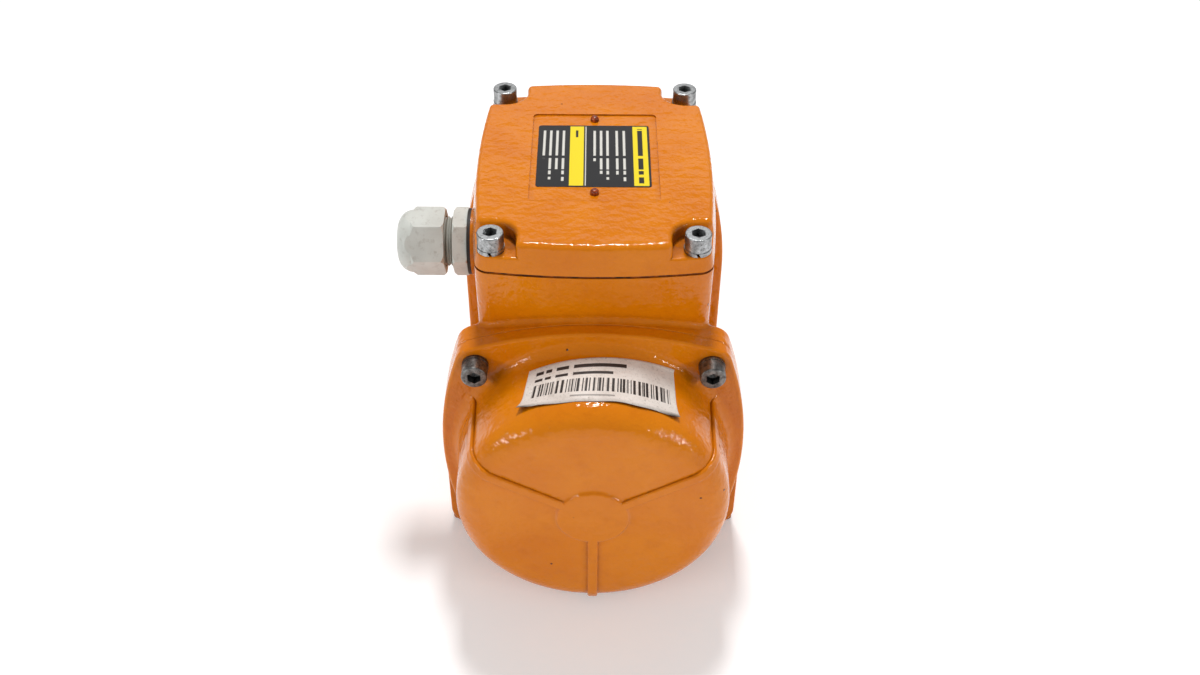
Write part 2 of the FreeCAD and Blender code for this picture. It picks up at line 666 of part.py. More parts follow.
def box_lid():
    z0 = BOX_RIM_Z + GASKET_T
    lid = lid_block()
    hollow = box_prism(LID_WALL, z0 - PAST, LID_TOP_Z - LID_ROOF_T)
    for x, y in lid_screw_spots():
        hollow = hollow.cut(cyl_z(NOTCH_R + NOTCH_WALL, z0 - 2 * PAST, LID_TOP_Z, x, y))
    lid = lid.cut(hollow)
    field_z = LID_TOP_Z - PLATE_DEPTH
    field = block(PLATE_X - PLATE_HX, PLATE_X + PLATE_HX, -PLATE_HY, PLATE_HY, field_z, LID_TOP_Z + PAST)
    cuts = [soften(field, PLATE_CORNER_R, lambda e: runs_along(e, AZ))]
    cuts += [cyl_z(M6_R + HOLE_GAP, z0 - PAST, LID_TOP_Z + PAST, x, y) for x, y in lid_screw_spots()]
    cuts += [cyl_z(RIVET_SHANK_R, field_z - RIVET_SHANK_L, field_z + PAST, x, 0) for x in RIVET_X]
    for cut in cuts:
        lid = lid.cut(cut)
    return lid


def lid_gasket():
    z0, z1 = BOX_RIM_Z, BOX_RIM_Z + GASKET_T
    sheet = box_prism(GASKET_INSET, z0, z1)
    window = box_prism(BOX_WALL, z0 - PAST, z1 + PAST)
    for x, y in lid_screw_spots():
        window = window.cut(cyl_z(BOX_BOSS_R, z0 - 2 * PAST, z1 + 2 * PAST, x, y))
        sheet = sheet.cut(cyl_z(M6_R + HOLE_GAP, z0 - PAST, z1 + PAST, x, y))
    return sheet.cut(window)


def lid_screws():
    screw = socket_screw(M6_HEAD_R, M6_HEAD_H, M6_KEY_AF, M6_KEY_D, M6_R, LID_SCREW_L)
    seat = LID_SEAT_Z + SPRING_W_T
    return Part.makeCompound([place(screw, V(x, y, seat), AZ) for x, y in lid_screw_spots()])


def lid_washers():
    washer = spring_washer()
    return Part.makeCompound([place(washer, V(x, y, LID_SEAT_Z), AZ) for x, y in lid_screw_spots()])


def lid_rivets():
    rivets = []
    base = LID_TOP_Z - PLATE_DEPTH
    for x in RIVET_X:
        head = cyl_z(RIVET_R, base, base + RIVET_H, x, 0)
        head = soften(head, RIVET_DOME_R, lambda e: at_level(e, AZ, base + RIVET_H))
        shank = cyl_z(RIVET_SHANK_R, base - RIVET_SHANK_L, base, x, 0)
        rivets.append(head.fuse(shank).removeSplitter())
    return Part.makeCompound(rivets)


# ---- end cover -----------------------------------------------------------------------------------
def dome(grow):
    """The dome as a solid, grown outwards by the given amount."""
    flange_x, base_x = PART_X + COVER_FLANGE_T, PART_X + COVER_FLANGE_T / 2
    root_r, face_x, rim_r = DOME_ROOT_R + grow, DOME_X + grow, DOME_R + grow
    fillet, edge = DOME_ROOT_FILLET - grow, DOME_EDGE_R + grow
    root = quarter((flange_x + fillet, root_r + fillet), fillet, (-1, 0), (0, -1))
    shoulder = quarter((face_x - edge, rim_r - edge), edge, (0, 1), (1, 0))
    return lathe_x([(base_x, 0), (base_x, root_r + fillet), (flange_x, root_r + fillet), root,
                    (face_x - edge, rim_r), shoulder, (face_x, 0)])


def cover_rib(angle):
    """A rib from the hub over the shoulder to the flange, with rounded edges."""
    base_x, base_z = PART_X + COVER_FLANGE_T / 2, AXIS_H + HUB_R - HUB_SLOPE
    slab = block(base_x, DOME_X + RIB_RISE, -RIB_W / 2, RIB_W / 2, base_z, AXIS_H + FAR)
    rib = dome(RIB_RISE).common(slab)

    def is_outer(e):
        on_side = at_level(e, AY, RIB_W / 2) or at_level(e, AY, -RIB_W / 2)
        return on_side and e.BoundBox.XMax > base_x + PAST and e.BoundBox.ZMax > base_z + PAST

    return about_x(soften(rib, RIB_EDGE_R, is_outer), angle)


def cover_hub():
    """Flat round boss with a smooth step down to the dome."""
    half_w, half_h = HUB_SLOPE / 2, HUB_RISE / 2
    turn = 2 * math.atan(half_h / half_w)
    r = half_w / math.sin(turn)
    x0, x1 = DOME_X, DOME_X + HUB_RISE
    low = (x0 + r * (1 - math.cos(turn / 2)), HUB_R + half_w - r * math.sin(turn / 2))
    high = (x1 - r * (1 - math.cos(turn / 2)), HUB_R - half_w + r * math.sin(turn / 2))
    return lathe_x([(x0 - PAST, 0), (x0 - PAST, HUB_R + half_w), (x0, HUB_R + half_w),
                    (low, (x0 + half_h, HUB_R)), (high, (x1, HUB_R - half_w)), (x1, 0)])


def cover_cavity():
    end = DOME_X - COVER_FACE_T
    cavity = cyl_x(DOME_R - COVER_WALL, PART_X - PAST, end)
    return soften(cavity, COVER_CAVITY_EDGE_R, lambda e: at_level(e, AX, end))


def front_cover():
    x1 = PART_X + COVER_FLANGE_T
    flange = flange_prism(PART_X, x1).cut(below(COVER_FLAT_Z))
    flange = soften(flange, FLANGE_EDGE_R, lambda e: at_level(e, AX, x1))
    flange = bevel(flange, JOINT_EDGE, lambda e: at_level(e, AX, PART_X))
    body = join([flange, dome(0.0), cover_hub()] + [cover_rib(a) for a in RIB_ANGLES])
    cuts = [cover_cavity(), below(COVER_FLAT_Z),
            ring_x(SEAL_IN_R - SEAL_SIDE_GAP, SEAL_OUT_R + SEAL_SIDE_GAP, PART_X - PAST, PART_X + SEAL_T)]
    for y, z in cover_screw_spots():
        cuts.append(cyl_x(M6_R + HOLE_GAP, PART_X - PAST, x1 + PAST, y, z))
        cuts.append(cyl_x(M6_HEAD_R + HEAD_ROOM, x1, x1 + SPRING_W_T + M6_HEAD_H + PAST, y, z))
    for cut in cuts:
        body = body.cut(cut)
    return body


def cover_seal():
    return ring_x(SEAL_IN_R, SEAL_OUT_R, PART_X, PART_X + SEAL_T)


def cover_screws():
    screw = socket_screw(M6_HEAD_R, M6_HEAD_H, M6_KEY_AF, M6_KEY_D, M6_R, COVER_SCREW_L)
    seat = PART_X + COVER_FLANGE_T + SPRING_W_T
    return Part.makeCompound([place(screw, V(seat, y, z), AX) for y, z in cover_screw_spots()])


def cover_washers():
    seat = PART_X + COVER_FLANGE_T
    washer = spring_washer()
    return Part.makeCompound([place(washer, V(seat, y, z), AX) for y, z in cover_screw_spots()])


# ---- bearing shield and bearing --------------------------------------------------------------------
def shield_screw_spots():
    k = (SHIELD_R - SHIELD_SCREW_IN) * math.sqrt(0.5)
    return [(sy * k, AXIS_H + sz * k) for sy in (1, -1) for sz in (1, -1)]


def bearing_x():
    return SHAFT_MID_HALF, SHAFT_MID_HALF + BEARING_W


def bearing_shield():
    x0, x1 = SHIELD_SEAT_X, SHIELD_SEAT_X + SHIELD_T
    b0, b1 = bearing_x()
    hub, rim = SHIELD_HUB_R, SHIELD_RIM_R
    front, back, rear_x = SHIELD_SLOPE, SHIELD_BACK_SLOPE, b0 - SHIELD_BACK_T
    face = [(x1, hub), (x1 - front, hub + front), (x1 - front, rim - front), (x1, rim)]
    back_face = [(x0, rim), (x0 + back, rim - back), (x0 + back, hub + back), (x0, hub)]
    seat = [(rear_x, hub - SHIELD_BACK_T), (rear_x, BEARING_OUT_R), (b1, BEARING_OUT_R), (b1, SHIELD_LIP_R)]
    body = lathe_x([(x1, SHIELD_LIP_R)] + face + [(x1, SHIELD_R), (x0, SHIELD_R)] + back_face + seat)
    for y, z in shield_screw_spots():
        body = body.cut(cyl_x(M5_R + HOLE_GAP / 2, x0 - PAST, x1 + PAST, y, z))
    return body


def shield_screws():
    screw = socket_screw(M5_HEAD_R, M5_HEAD_H, M5_KEY_AF, M5_KEY_D, M5_R, SHIELD_SCREW_L)
    seat = SHIELD_SEAT_X + SHIELD_T
    return Part.makeCompound([place(screw, V(seat, y, z), AX) for y, z in shield_screw_spots()])


def race_groove():
    mid = sum(bearing_x()) / 2
    return Part.makeTorus(BALL_PITCH_R, BALL_R + SLIDE_GAP, V(mid, 0, AXIS_H), AX)


def bearing_outer():
    b0, b1 = bearing_x()
    return ring_x(OUTER_LAND_R, BEARING_OUT_R, b0, b1).cut(race_groove())


def bearing_inner():
    b0, b1 = bearing_x()
    return ring_x(BEARING_SEAT_R, INNER_LAND_R, b0, b1).cut(race_groove())


def ball_set():
    mid = sum(bearing_x()) / 2
    cage = ring_x(CAGE_IN_R, CAGE_OUT_R, mid - CAGE_HALF_W, mid + CAGE_HALF_W)
    z0, z1 = AXIS_H + CAGE_IN_R - POCKET_OVER, AXIS_H + CAGE_OUT_R + POCKET_OVER
    pocket = cyl_z(BALL_R + PRESS_GAP, z0, z1, mid, 0)
    ball = Part.makeSphere(BALL_R, V(mid, 0, AXIS_H + BALL_PITCH_R))
    turns = [360.0 * i / BALLS for i in range(BALLS)]
    for turn in turns:
        cage = cage.cut(about_x(pocket, turn))
    return Part.makeCompound([cage] + [about_x(ball, turn) for turn in turns])


# ---- stator ----------------------------------------------------------------------------------------
def spokes(count, width, r_in, r_out, half_len):
    bar = block(-half_len, half_len, -width / 2, width / 2, AXIS_H + r_in, AXIS_H + r_out)
    return [about_x(bar, 360.0 * i / count) for i in range(count)]


def stator_core():
    core = ring_x(STATOR_IN_R, STATOR_BORE_R, -STACK_HALF, STACK_HALF)
    for bar in spokes(WIND_SLOTS, WIND_SLOT_W, WIND_SLOT_IN_R, WIND_SLOT_OUT_R, STACK_HALF + PAST):
        core = core.cut(bar)
    return core


def stator_windings():
    bars = spokes(WIND_SLOTS, WIND_SLOT_W, WIND_SLOT_IN_R, WIND_SLOT_OUT_R, STACK_HALF + PAST)
    r0, r1, x1, c = WIND_SLOT_IN_R - WIND_OVER, WIND_SLOT_OUT_R + WIND_OVER, WIND_HALF, WIND_EDGE_R
    end = lathe_x([(STACK_HALF, r0), (x1 - c, r0), (x1 - c / 3, r0 + c / 3), (x1, r0 + c),
                   (x1, r1 - c), (x1 - c / 3, r1 - c / 3), (x1 - c, r1), (STACK_HALF, r1)])
    return join(bars + [end, rear(end)])


# ---- rotor -----------------------------------------------------------------------------------------
def rotor_core():
    core = ring_x(ROTOR_BORE_R, ROTOR_R, -STACK_HALF, STACK_HALF)
    for bar in spokes(CAGE_BARS, CAGE_BAR_W, CAGE_BAR_IN_R, CAGE_BAR_OUT_R, STACK_HALF + PAST):
        core = core.cut(bar)
    return core


def rotor_cage():
    bars = spokes(CAGE_BARS, CAGE_BAR_W, CAGE_BAR_IN_R, CAGE_BAR_OUT_R, STACK_HALF + PAST)
    ring = ring_x(CAGE_RING_IN_R, ROTOR_R - CAGE_RING_STEP, STACK_HALF, STACK_HALF + CAGE_RING_T)
    return join(bars + [ring, rear(ring)])


def weight_key():
    """The key under the fixed weight, which is also the cut for its keyways."""
    x0, z0 = WEIGHT_X + KEY_IN, AXIS_H + WEIGHT_SEAT_R - KEY_H / 2
    return block(x0, x0 + KEY_L, -KEY_W / 2, KEY_W / 2, z0, z0 + KEY_H)


def rotor_shaft():
    half = [(0, ROTOR_BORE_R), (SHAFT_MID_HALF, ROTOR_BORE_R), (SHAFT_MID_HALF, BEARING_SEAT_R),
            (SHAFT_MID_HALF + BEARING_W, BEARING_SEAT_R), (SHAFT_MID_HALF + BEARING_W, WEIGHT_SEAT_R),
            (WEIGHT_SEAT_END, WEIGHT_SEAT_R), (WEIGHT_SEAT_END, SHAFT_THREAD_R),
            (SHAFT_END - SHAFT_EDGE, SHAFT_THREAD_R), (SHAFT_END, SHAFT_THREAD_R - SHAFT_EDGE), (SHAFT_END, 0)]
    pts = [(-x, r) for x, r in reversed(half[1:])] + half[1:]
    shaft = lathe_x(pts)
    key = weight_key()
    return shaft.cut(key).cut(rear(key))


# ---- eccentric weights -------------------------------------------------------------------------------
def weight_blank(x0):
    disc = cyl_x(WEIGHT_R, x0, x0 + WEIGHT_T)
    disc = disc.cut(block(x0 - PAST, x0 + WEIGHT_T + PAST, -FAR, FAR, AXIS_H, AXIS_H + FAR))
    return disc.fuse(cyl_x(WEIGHT_HUB_R, x0, x0 + WEIGHT_T)).removeSplitter()


def fixed_weight():
    bore = cyl_x(WEIGHT_SEAT_R, WEIGHT_X - PAST, WEIGHT_X + WEIGHT_T + PAST)
    return weight_blank(WEIGHT_X).cut(bore).cut(weight_key())


def adjustable_x():
    return WEIGHT_X + WEIGHT_T + WEIGHT_FACE_GAP


def adjustable_weight():
    x0 = adjustable_x()
    x1 = x0 + WEIGHT_T
    ear = block(x0, x1, -EAR_HALF_Y, EAR_HALF_Y, AXIS_H, AXIS_H + EAR_TOP)
    ear = soften(ear, EAR_CORNER_R, lambda e: runs_along(e, AX) and at_level(e, AZ, AXIS_H + EAR_TOP))
    body = weight_blank(x0).fuse(ear).removeSplitter()
    body = body.cut(cyl_x(WEIGHT_SEAT_R + SLIDE_GAP, x0 - PAST, x1 + PAST))
    half = EAR_SPLIT / 2
    body = body.cut(block(x0 - PAST, x1 + PAST, -half, half, AXIS_H, AXIS_H + EAR_TOP + PAST))
    x_mid, z = (x0 + x1) / 2, AXIS_H + CLAMP_OFF
    body = body.cut(cyl_y(M5_R + PRESS_GAP, -EAR_HALF_Y - PAST, EAR_HALF_Y + PAST, x_mid, z))
    return body.cut(cyl_y(M5_HEAD_R + HOLE_GAP, EAR_HALF_Y - EAR_SINK, EAR_HALF_Y + FAR, x_mid, z))


def clamp_screw():
    screw = socket_screw(M5_HEAD_R, M5_HEAD_H, M5_KEY_AF, M5_KEY_D, M5_R, CLAMP_SCREW_L)
    return place(screw, V(adjustable_x() + WEIGHT_T / 2, EAR_HALF_Y - EAR_SINK, AXIS_H + CLAMP_OFF), AY)


def shaft_spacer():
    return ring_x(WEIGHT_SEAT_R, SPACER_OUT_R, SHAFT_MID_HALF + BEARING_W, WEIGHT_X)


def weight_washer():
    x0 = adjustable_x() + WEIGHT_T
    return ring_x(WEIGHT_SEAT_R, WASHER_OUT_R, x0, x0 + WASHER_T)


def shaft_nut():
    x0 = adjustable_x() + WEIGHT_T + WASHER_T
    return place(hex_nut(NUT_AF, NUT_T, SHAFT_THREAD_R), V(x0, 0, AXIS_H), AX)


# ---- terminal block ------------------------------------------------------------------------------------
def stud_spots():
    return [(x, s * STUD_Y) for x in STUD_X for s in (1, -1)]


def terminal_block():
    top = BLOCK_Z + BLOCK_T
    body = block(-BLOCK_HX, BLOCK_HX, -BLOCK_HY, BLOCK_HY, BLOCK_Z, top)
    body = soften(body, BLOCK_CORNER_R, lambda e: runs_along(e, AZ))
    xs = [(STUD_X[0] + STUD_X[1]) / 2, (STUD_X[1] + STUD_X[2]) / 2]
    half_x, half_y = BARRIER_T / 2, BLOCK_HY - BARRIER_IN
    walls = [block(x - half_x, x + half_x, -half_y, half_y, top - PAST, top + BARRIER_H) for x in xs]
    body = body.fuse(walls).removeSplitter()
    for s in (1, -1):
        body = body.cut(cyl_z(M4_R + HOLE_GAP, BLOCK_Z - PAST, top + PAST, s * BLOCK_SCREW_X, 0))
    for x, y in stud_spots():
        body = body.cut(cyl_z(STUD_R, BLOCK_Z + STUD_FLOOR_T, top + PAST, x, y))
    return body


def terminal_studs():
    foot, top = BLOCK_Z + STUD_FLOOR_T, BLOCK_Z + BLOCK_T + STUD_OUT
    return Part.makeCompound([cyl_z(STUD_R, foot, top, x, y) for x, y in stud_spots()])


def terminal_links():
    z0 = BLOCK_Z + BLOCK_T
    links = []
    for x in STUD_X:
        half_w, half_l = LINK_W / 2, STUD_Y + LINK_W / 2
        strip = block(x - half_w, x + half_w, -half_l, half_l, z0, z0 + LINK_T)
        strip = soften(strip, half_w - LINK_END_FLAT, lambda e: runs_along(e, AZ))
        for s in (1, -1):
            strip = strip.cut(cyl_z(STUD_R, z0 - PAST, z0 + LINK_T + PAST, x, s * STUD_Y))
        links.append(strip)
    return Part.makeCompound(links)


def terminal_nuts():
    z0 = BLOCK_Z + BLOCK_T + LINK_T
    nut = hex_nut(STUD_NUT_AF, STUD_NUT_T, STUD_R)
    return Part.makeCompound([place(nut, V(x, y, z0), AZ) for x, y in stud_spots()])


def block_screws():
    z0 = BLOCK_Z + BLOCK_T
    screw = pan_screw(BLOCK_T + M4_GRIP)
    return Part.makeCompound([place(screw, V(s * BLOCK_SCREW_X, 0, z0), AZ) for s in (1, -1)])


def earth_screw():
    h = EARTH_WASHER_HALF
    washer = block(EARTH_X - h, EARTH_X + h, EARTH_Y - h, EARTH_Y + h, BLOCK_Z, BLOCK_Z + EARTH_WASHER_T)
    screw = place(pan_screw(M4_GRIP), V(EARTH_X, EARTH_Y, BLOCK_Z + EARTH_WASHER_T), AZ)
    return washer.fuse(screw).removeSplitter()


def lead_grommet():
    foot = BOX_FLOOR_Z - GROMMET_L
    body = cyl_z(LEAD_HOLE_R, foot, BOX_FLOOR_Z, LEAD_X, 0)
    flange = cyl_z(GROMMET_FLANGE_R, BOX_FLOOR_Z, BOX_FLOOR_Z + GROMMET_FLANGE_T, LEAD_X, 0)
    bore = cyl_z(GROMMET_IN_R, foot - PAST, BOX_FLOOR_Z + GROMMET_FLANGE_T + PAST, LEAD_X, 0)
    return body.fuse(flange).removeSplitter().cut(bore)


# ---- cable gland ------------------------------------------------------------------------------------------
def gland_hex(d0, d1, turn):
    """Hexagon bar on the gland axis between two distances out from the wall seat."""
    bar = hex_prism(GLAND_AF, d1 - d0)
    bar.rotate(V(0, 0, 0), AZ, turn)
    return place(bar, V(GLAND_X, -GLAND_SEAT_Y - d0, GLAND_Z), V(0, -1, 0))


def collar_span():
    return GLAND_GASKET_T, GLAND_GASKET_T + GLAND_COLLAR_T


def spigot_end():
    return collar_span()[1] + GLAND_SPIGOT_L


def thread_profile(d0, d1, depth):
    pts = []
    d = d0
    while d + GLAND_PITCH <= d1 + 1e-6:
        pts += [(d, GLAND_THREAD_R - depth), (d + GLAND_PITCH / 2, GLAND_THREAD_R)]
        d += GLAND_PITCH
    pts.append((d, GLAND_THREAD_R - depth))
    return pts


def gland_body():
    c0, c1 = collar_span()
    r, rim, foot = NUT_WALL_R + COLLAR_EDGE, NUT_WALL_R + COLLAR_EDGE + EDGE, -GLAND_TAIL_L
    turned = lathe_gland([(c0, 0), (c0, r), (c0 + EDGE, rim), (c1 - COLLAR_FRONT_EDGE, rim),
                          (c1, r - COLLAR_CORNER_CUT), (c1, 0)])
    collar = gland_hex(c0, c1, GLAND_COLLAR_TURN).common(turned)
    tail = lathe_gland([(foot, 0), (foot, GLAND_THREAD_R - GLAND_TAIL_EDGE),
                        (foot + GLAND_TAIL_EDGE, GLAND_THREAD_R), (c0, GLAND_THREAD_R), (c0, 0)])
    end = spigot_end()
    crest = thread_profile(c1, end, GLAND_THREAD_D)
    spigot = lathe_gland([(c1, 0)] + crest + [(end, crest[-1][1]), (end, 0)])
    body = collar.fuse([tail, spigot]).removeSplitter()
    socket = end - GLAND_SOCKET_L
    bore = lathe_gland([(foot - PAST, 0), (foot - PAST, GLAND_BORE_R), (socket, GLAND_BORE_R),
                        (socket, GLAND_SOCKET_R), (end + PAST, GLAND_SOCKET_R), (end + PAST, 0)])
    return body.cut(bore)


def gland_gasket():
    bore, t = GLAND_THREAD_R + PRESS_GAP, GLAND_GASKET_T
    return lathe_gland([(0, bore), (0, GLAND_GASKET_R), (t, GLAND_GASKET_R), (t, bore)])


def nut_span():
    start = collar_span()[1] + GLAND_GAP
    return start, start + GLAND_NUT_L


def gland_nut():
    n0, n1 = nut_span()
    r = NUT_WALL_R + NUT_CORNER_OUT
    dome0 = n1 - GLAND_DOME_L
    bulge = (n1 - GLAND_DOME_L * NUT_BULGE_L, GLAND_NUT_END_R + (GLAND_DOME_R - GLAND_NUT_END_R) * NUT_BULGE_R)
    skin = lathe_gland([(n0, 0), (n0, r - NUT_EDGE), (n0 + NUT_EDGE, r), (dome0 - (r - GLAND_DOME_R), r),
                        (dome0, GLAND_DOME_R), (bulge, (n1, GLAND_NUT_END_R)), (n1, 0)])
    body = skin.common(gland_hex(n0, n1, 0.0))
    claw0 = spigot_end() + CLAW_START
    claw1 = claw0 + CLAW_T
    room, mouth = GLAND_THREAD_R + GLAND_THREAD_GAP, n1 + PAST
    bore = lathe_gland([(n0 - PAST, 0), (n0 - PAST, room), (claw0 - NUT_EDGE, room), (claw0, CLAW_OUT_R),
                        (claw1, CLAW_OUT_R), (claw1, GLAND_SOCKET_R), (claw1 + EDGE, SEAL_BUSH_IN_R),
                        (mouth, SEAL_BUSH_IN_R), (mouth, 0)])
    return body.cut(bore)


def gland_seal():
    start = spigot_end() - SEAL_BUSH_START
    end = spigot_end() + CLAW_START + CLAW_T
    bore, r = SEAL_BUSH_IN_R, GLAND_SOCKET_R - SLIDE_GAP
    return lathe_gland([(start, bore), (start, r - EDGE), (start + EDGE, r), (end, r), (end, bore)])


def gland_claw():
    start = spigot_end() + CLAW_START
    end = start + CLAW_T
    r = GLAND_SOCKET_R - SLIDE_GAP
    ring = lathe_gland([(start, r), (start, CLAW_OUT_R), (end, CLAW_OUT_R), (end, r)])
    y_in = -GLAND_SEAT_Y - start
    slot = block(GLAND_X - CLAW_SLOT_W / 2, GLAND_X + CLAW_SLOT_W / 2, y_in - CLAW_T + CLAW_ROOT, y_in + PAST,
                 GLAND_Z, GLAND_Z + 2 * CLAW_OUT_R)
    for i in range(CLAW_SLOTS):
        cut = slot.copy()
        cut.rotate(V(GLAND_X, 0, GLAND_Z), AY, 360.0 * (i + 0.5) / CLAW_SLOTS)
        ring = ring.cut(cut)
    return ring


# ---- build -------------------------------------------------------------------------------------------------
def main():
    nodes = {
        "housing": housing(), "stator_core": stator_core(), "stator_windings": stator_windings(),
        "rotor_core": rotor_core(), "rotor_cage": rotor_cage(), "rotor_shaft": rotor_shaft(),
        "box_lid": box_lid(), "lid_gasket": lid_gasket(), "lid_screws": lid_screws(),
        "lid_washers": lid_washers(), "lid_rivets": lid_rivets(),
        "terminal_block": terminal_block(), "terminal_studs": terminal_studs(),
        "terminal_links": terminal_links(), "terminal_nuts": terminal_nuts(), "block_screws": block_screws(),
        "earth_screw": earth_screw(), "lead_grommet": lead_grommet(), "gland_body": gland_body(),
        "gland_gasket": gland_gasket(), "gland_nut": gland_nut(), "gland_seal": gland_seal(),
        "gland_claw": gland_claw(),
    }
    ends = {
        "bearing_shield": bearing_shield(), "shield_screws": shield_screws(), "bearing_outer": bearing_outer(),
        "bearing_inner": bearing_inner(), "ball_set": ball_set(), "shaft_spacer": shaft_spacer(),
        "fixed_weight": fixed_weight(), "weight_key": weight_key(), "adjustable_weight": adjustable_weight(),
        "clamp_screw": clamp_screw(), "weight_washer": weight_washer(), "shaft_nut": shaft_nut(),
        "cover": front_cover(), "cover_seal": cover_seal(), "cover_screws": cover_screws(),
        "cover_washers": cover_washers(),
    }
    for name, shape in ends.items():
        nodes["front_" + name] = shape
        nodes["rear_" + name] = rear(shape)
    os.makedirs("parts", exist_ok=True)
    for name, shape in nodes.items():
        shape.exportStep("parts/%s.step" % name)
        print("%-26s solids %d valid %s" % (name, len(shape.Solids), shape.isValid()))


main()
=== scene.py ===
# Looks of a vibration motor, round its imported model. Lengths are in millimetres until a mesh is made.
import bpy
import json
import math
from mathutils import Matrix, Vector


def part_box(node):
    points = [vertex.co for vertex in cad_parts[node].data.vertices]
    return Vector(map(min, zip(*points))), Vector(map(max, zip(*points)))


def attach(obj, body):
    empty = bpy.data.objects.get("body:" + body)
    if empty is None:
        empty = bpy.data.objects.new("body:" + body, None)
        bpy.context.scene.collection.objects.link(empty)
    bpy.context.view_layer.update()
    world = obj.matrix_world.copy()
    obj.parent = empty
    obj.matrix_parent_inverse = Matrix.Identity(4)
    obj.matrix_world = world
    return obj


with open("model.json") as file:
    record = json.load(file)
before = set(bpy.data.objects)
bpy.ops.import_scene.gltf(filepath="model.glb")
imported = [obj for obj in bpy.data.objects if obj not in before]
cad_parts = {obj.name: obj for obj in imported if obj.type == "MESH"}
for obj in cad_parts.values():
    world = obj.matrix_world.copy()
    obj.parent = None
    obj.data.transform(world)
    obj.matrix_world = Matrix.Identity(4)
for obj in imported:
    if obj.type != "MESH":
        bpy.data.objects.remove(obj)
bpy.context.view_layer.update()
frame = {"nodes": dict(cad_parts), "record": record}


def box_mm(node):
    """The lowest and highest corners of one node, in millimetres."""
    return [[c * 1000 for c in corner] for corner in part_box(node)]


MM = 0.001

# ---- places read from the frame ------------------------------------------------------------------
RIVET_H = 2.0
COVER_FLANGE_T = 6.0
HUB_RISE = 1.2                     # round hub in the middle of the dome's face
COVER_LOW, COVER_HIGH = box_mm("front_cover")
SHAFT_LOW, SHAFT_HIGH = box_mm("rotor_shaft")
RIVET_LOW, RIVET_HIGH = box_mm("lid_rivets")
AXIS_Z = (SHAFT_LOW[2] + SHAFT_HIGH[2]) / 2
FIELD_Z = RIVET_HIGH[2] - RIVET_H         # sunk field of the lid, where the rivet heads stand

# ---- dome of the end cover, as the part has it ---------------------------------------------------
FLANGE_X = COVER_LOW[0] + COVER_FLANGE_T  # outer face of the cover flange
DOME_X = COVER_HIGH[0] - HUB_RISE         # flat face of the dome, under its hub
DOME_R = 53.6
DOME_ROOT_R = 54.2
DOME_ROOT_FILLET = 4.5
DOME_EDGE_R = 9.4

# ---- printed pieces ------------------------------------------------------------------------------
LABEL_T = 0.14
LABEL_GLUE_T = 0.04
LABEL_BACK_X = (73.7, 71.8, 69.0)  # its edge by the flange: left end, middle and right end
LABEL_FRONT_X = (93.6, 95.9, 94.9) # its edge by the face of the dome, likewise
LABEL_LEFT = (-26.7, -30.7)        # degrees from straight up, at the back and the front edge
LABEL_RIGHT = (34.4, 35.6)
LABEL_RAGGED = 0.35                # how far its front edge is frayed back
LABEL_L = 63.0                     # length round the dome, for its print
LABEL_W = 24.0
LABEL_ROWS = ((4.2, 1.9, 4.0, 42.0), (8.2, 1.5, 4.0, 36.0))    # place, thickness, start, end
LABEL_FAINT_ROW = (20.4, 0.9, 20.0, 37.0)
LABEL_BARS_ALONG = (3.5, 60.0)
LABEL_BARS_ACROSS = (11.0, 18.2)
BAR_PITCH = 1.05
DASH_PITCH = 3.4
# a darker strip along the loose front edge of the label, and how far it runs in from each corner
DARK_EDGE_W = 1.2
DARK_LEFT_L = 4.5
DARK_RIGHT_L = 6.0
UV_MM = 100.0                      # one unit of the label's print places
STICKER_L = 44.5                   # along the shaft
STICKER_W = 45.3
STICKER_MID_X = (RIVET_LOW[0] + RIVET_HIGH[0]) / 2
STICKER_MID_Y = -0.35
STICKER_T = 0.16
STICKER_CORNER_R = 1.2
STICKER_MARGIN = 0.8               # bare edge of the film beside its bands
STICKER_BANDS = ((15.5, 21.4), (-10.0, -4.4))
STICKER_RULE = (-3.8, -3.4)
PALE_INDENT = 4.0
PALE_DASH_T = 1.0
PALE_ROWS = ((11.9, 4), (9.0, 8), (5.2, 5), (2.6, 9), (0.0, 18),    # place across, and how far short of
             (-12.6, 4), (-15.2, 12), (-17.8, 5), (-20.4, 20))      # the film's end its dashes stop
DARK_ROWS = ((18.4, 2.0, 2.5, 42.0), (-7.2, 1.0, 3.0, 9.0))    # place, thickness, start, end

# ---- camera and lamps ----------------------------------------------------------------------------
CAM_PLACE = (436.96, -0.39, 438.44)
CAM_DOWN = 41.285                  # degrees below level
CAM_YAW = 0.354
CAM_ROLL = 0.525
CAM_LENS = 38.858
CAM_SHIFT = (0.00106, 0.00391)
FLOOR_HALF = 4000.0
FLOOR_Z = -0.4                     # just under the feet
FLOOR_LIFT = 0.2


# ---- node helpers --------------------------------------------------------------------------------
FAC, A, B = 0, 6, 7                # sockets of a Mix node that mixes colours, whose names repeat
MIXED = 2                          # its colour output


def linear(hex_colour):
    """sRGB hex colour to the linear colour that shaders use."""
    out = []
    for i in (1, 3, 5):
        c = int(hex_colour[i:i + 2], 16) / 255
        out.append(c / 12.92 if c <= 0.04045 else ((c + 0.055) / 1.055) ** 2.4)
    return out + [1.0]


def feed(node, sockets):
    """Give each socket a plain value or a hex colour, or link it to another node's output."""
    for key, value in sockets.items():
        if isinstance(value, bpy.types.NodeSocket):
            node.id_data.links.new(value, node.inputs[key])
        elif isinstance(value, str):
            node.inputs[key].default_value = linear(value)
        else:
            node.inputs[key].default_value = value


def add(tree, kind, sockets, out=0, **settings):
    """Add one node with its settings and links, and give back one of its outputs."""
    node = tree.nodes.new("ShaderNode" + kind)
    for key, value in settings.items():
        setattr(node, key, value)
    feed(node, sockets)
    return node.outputs[out]


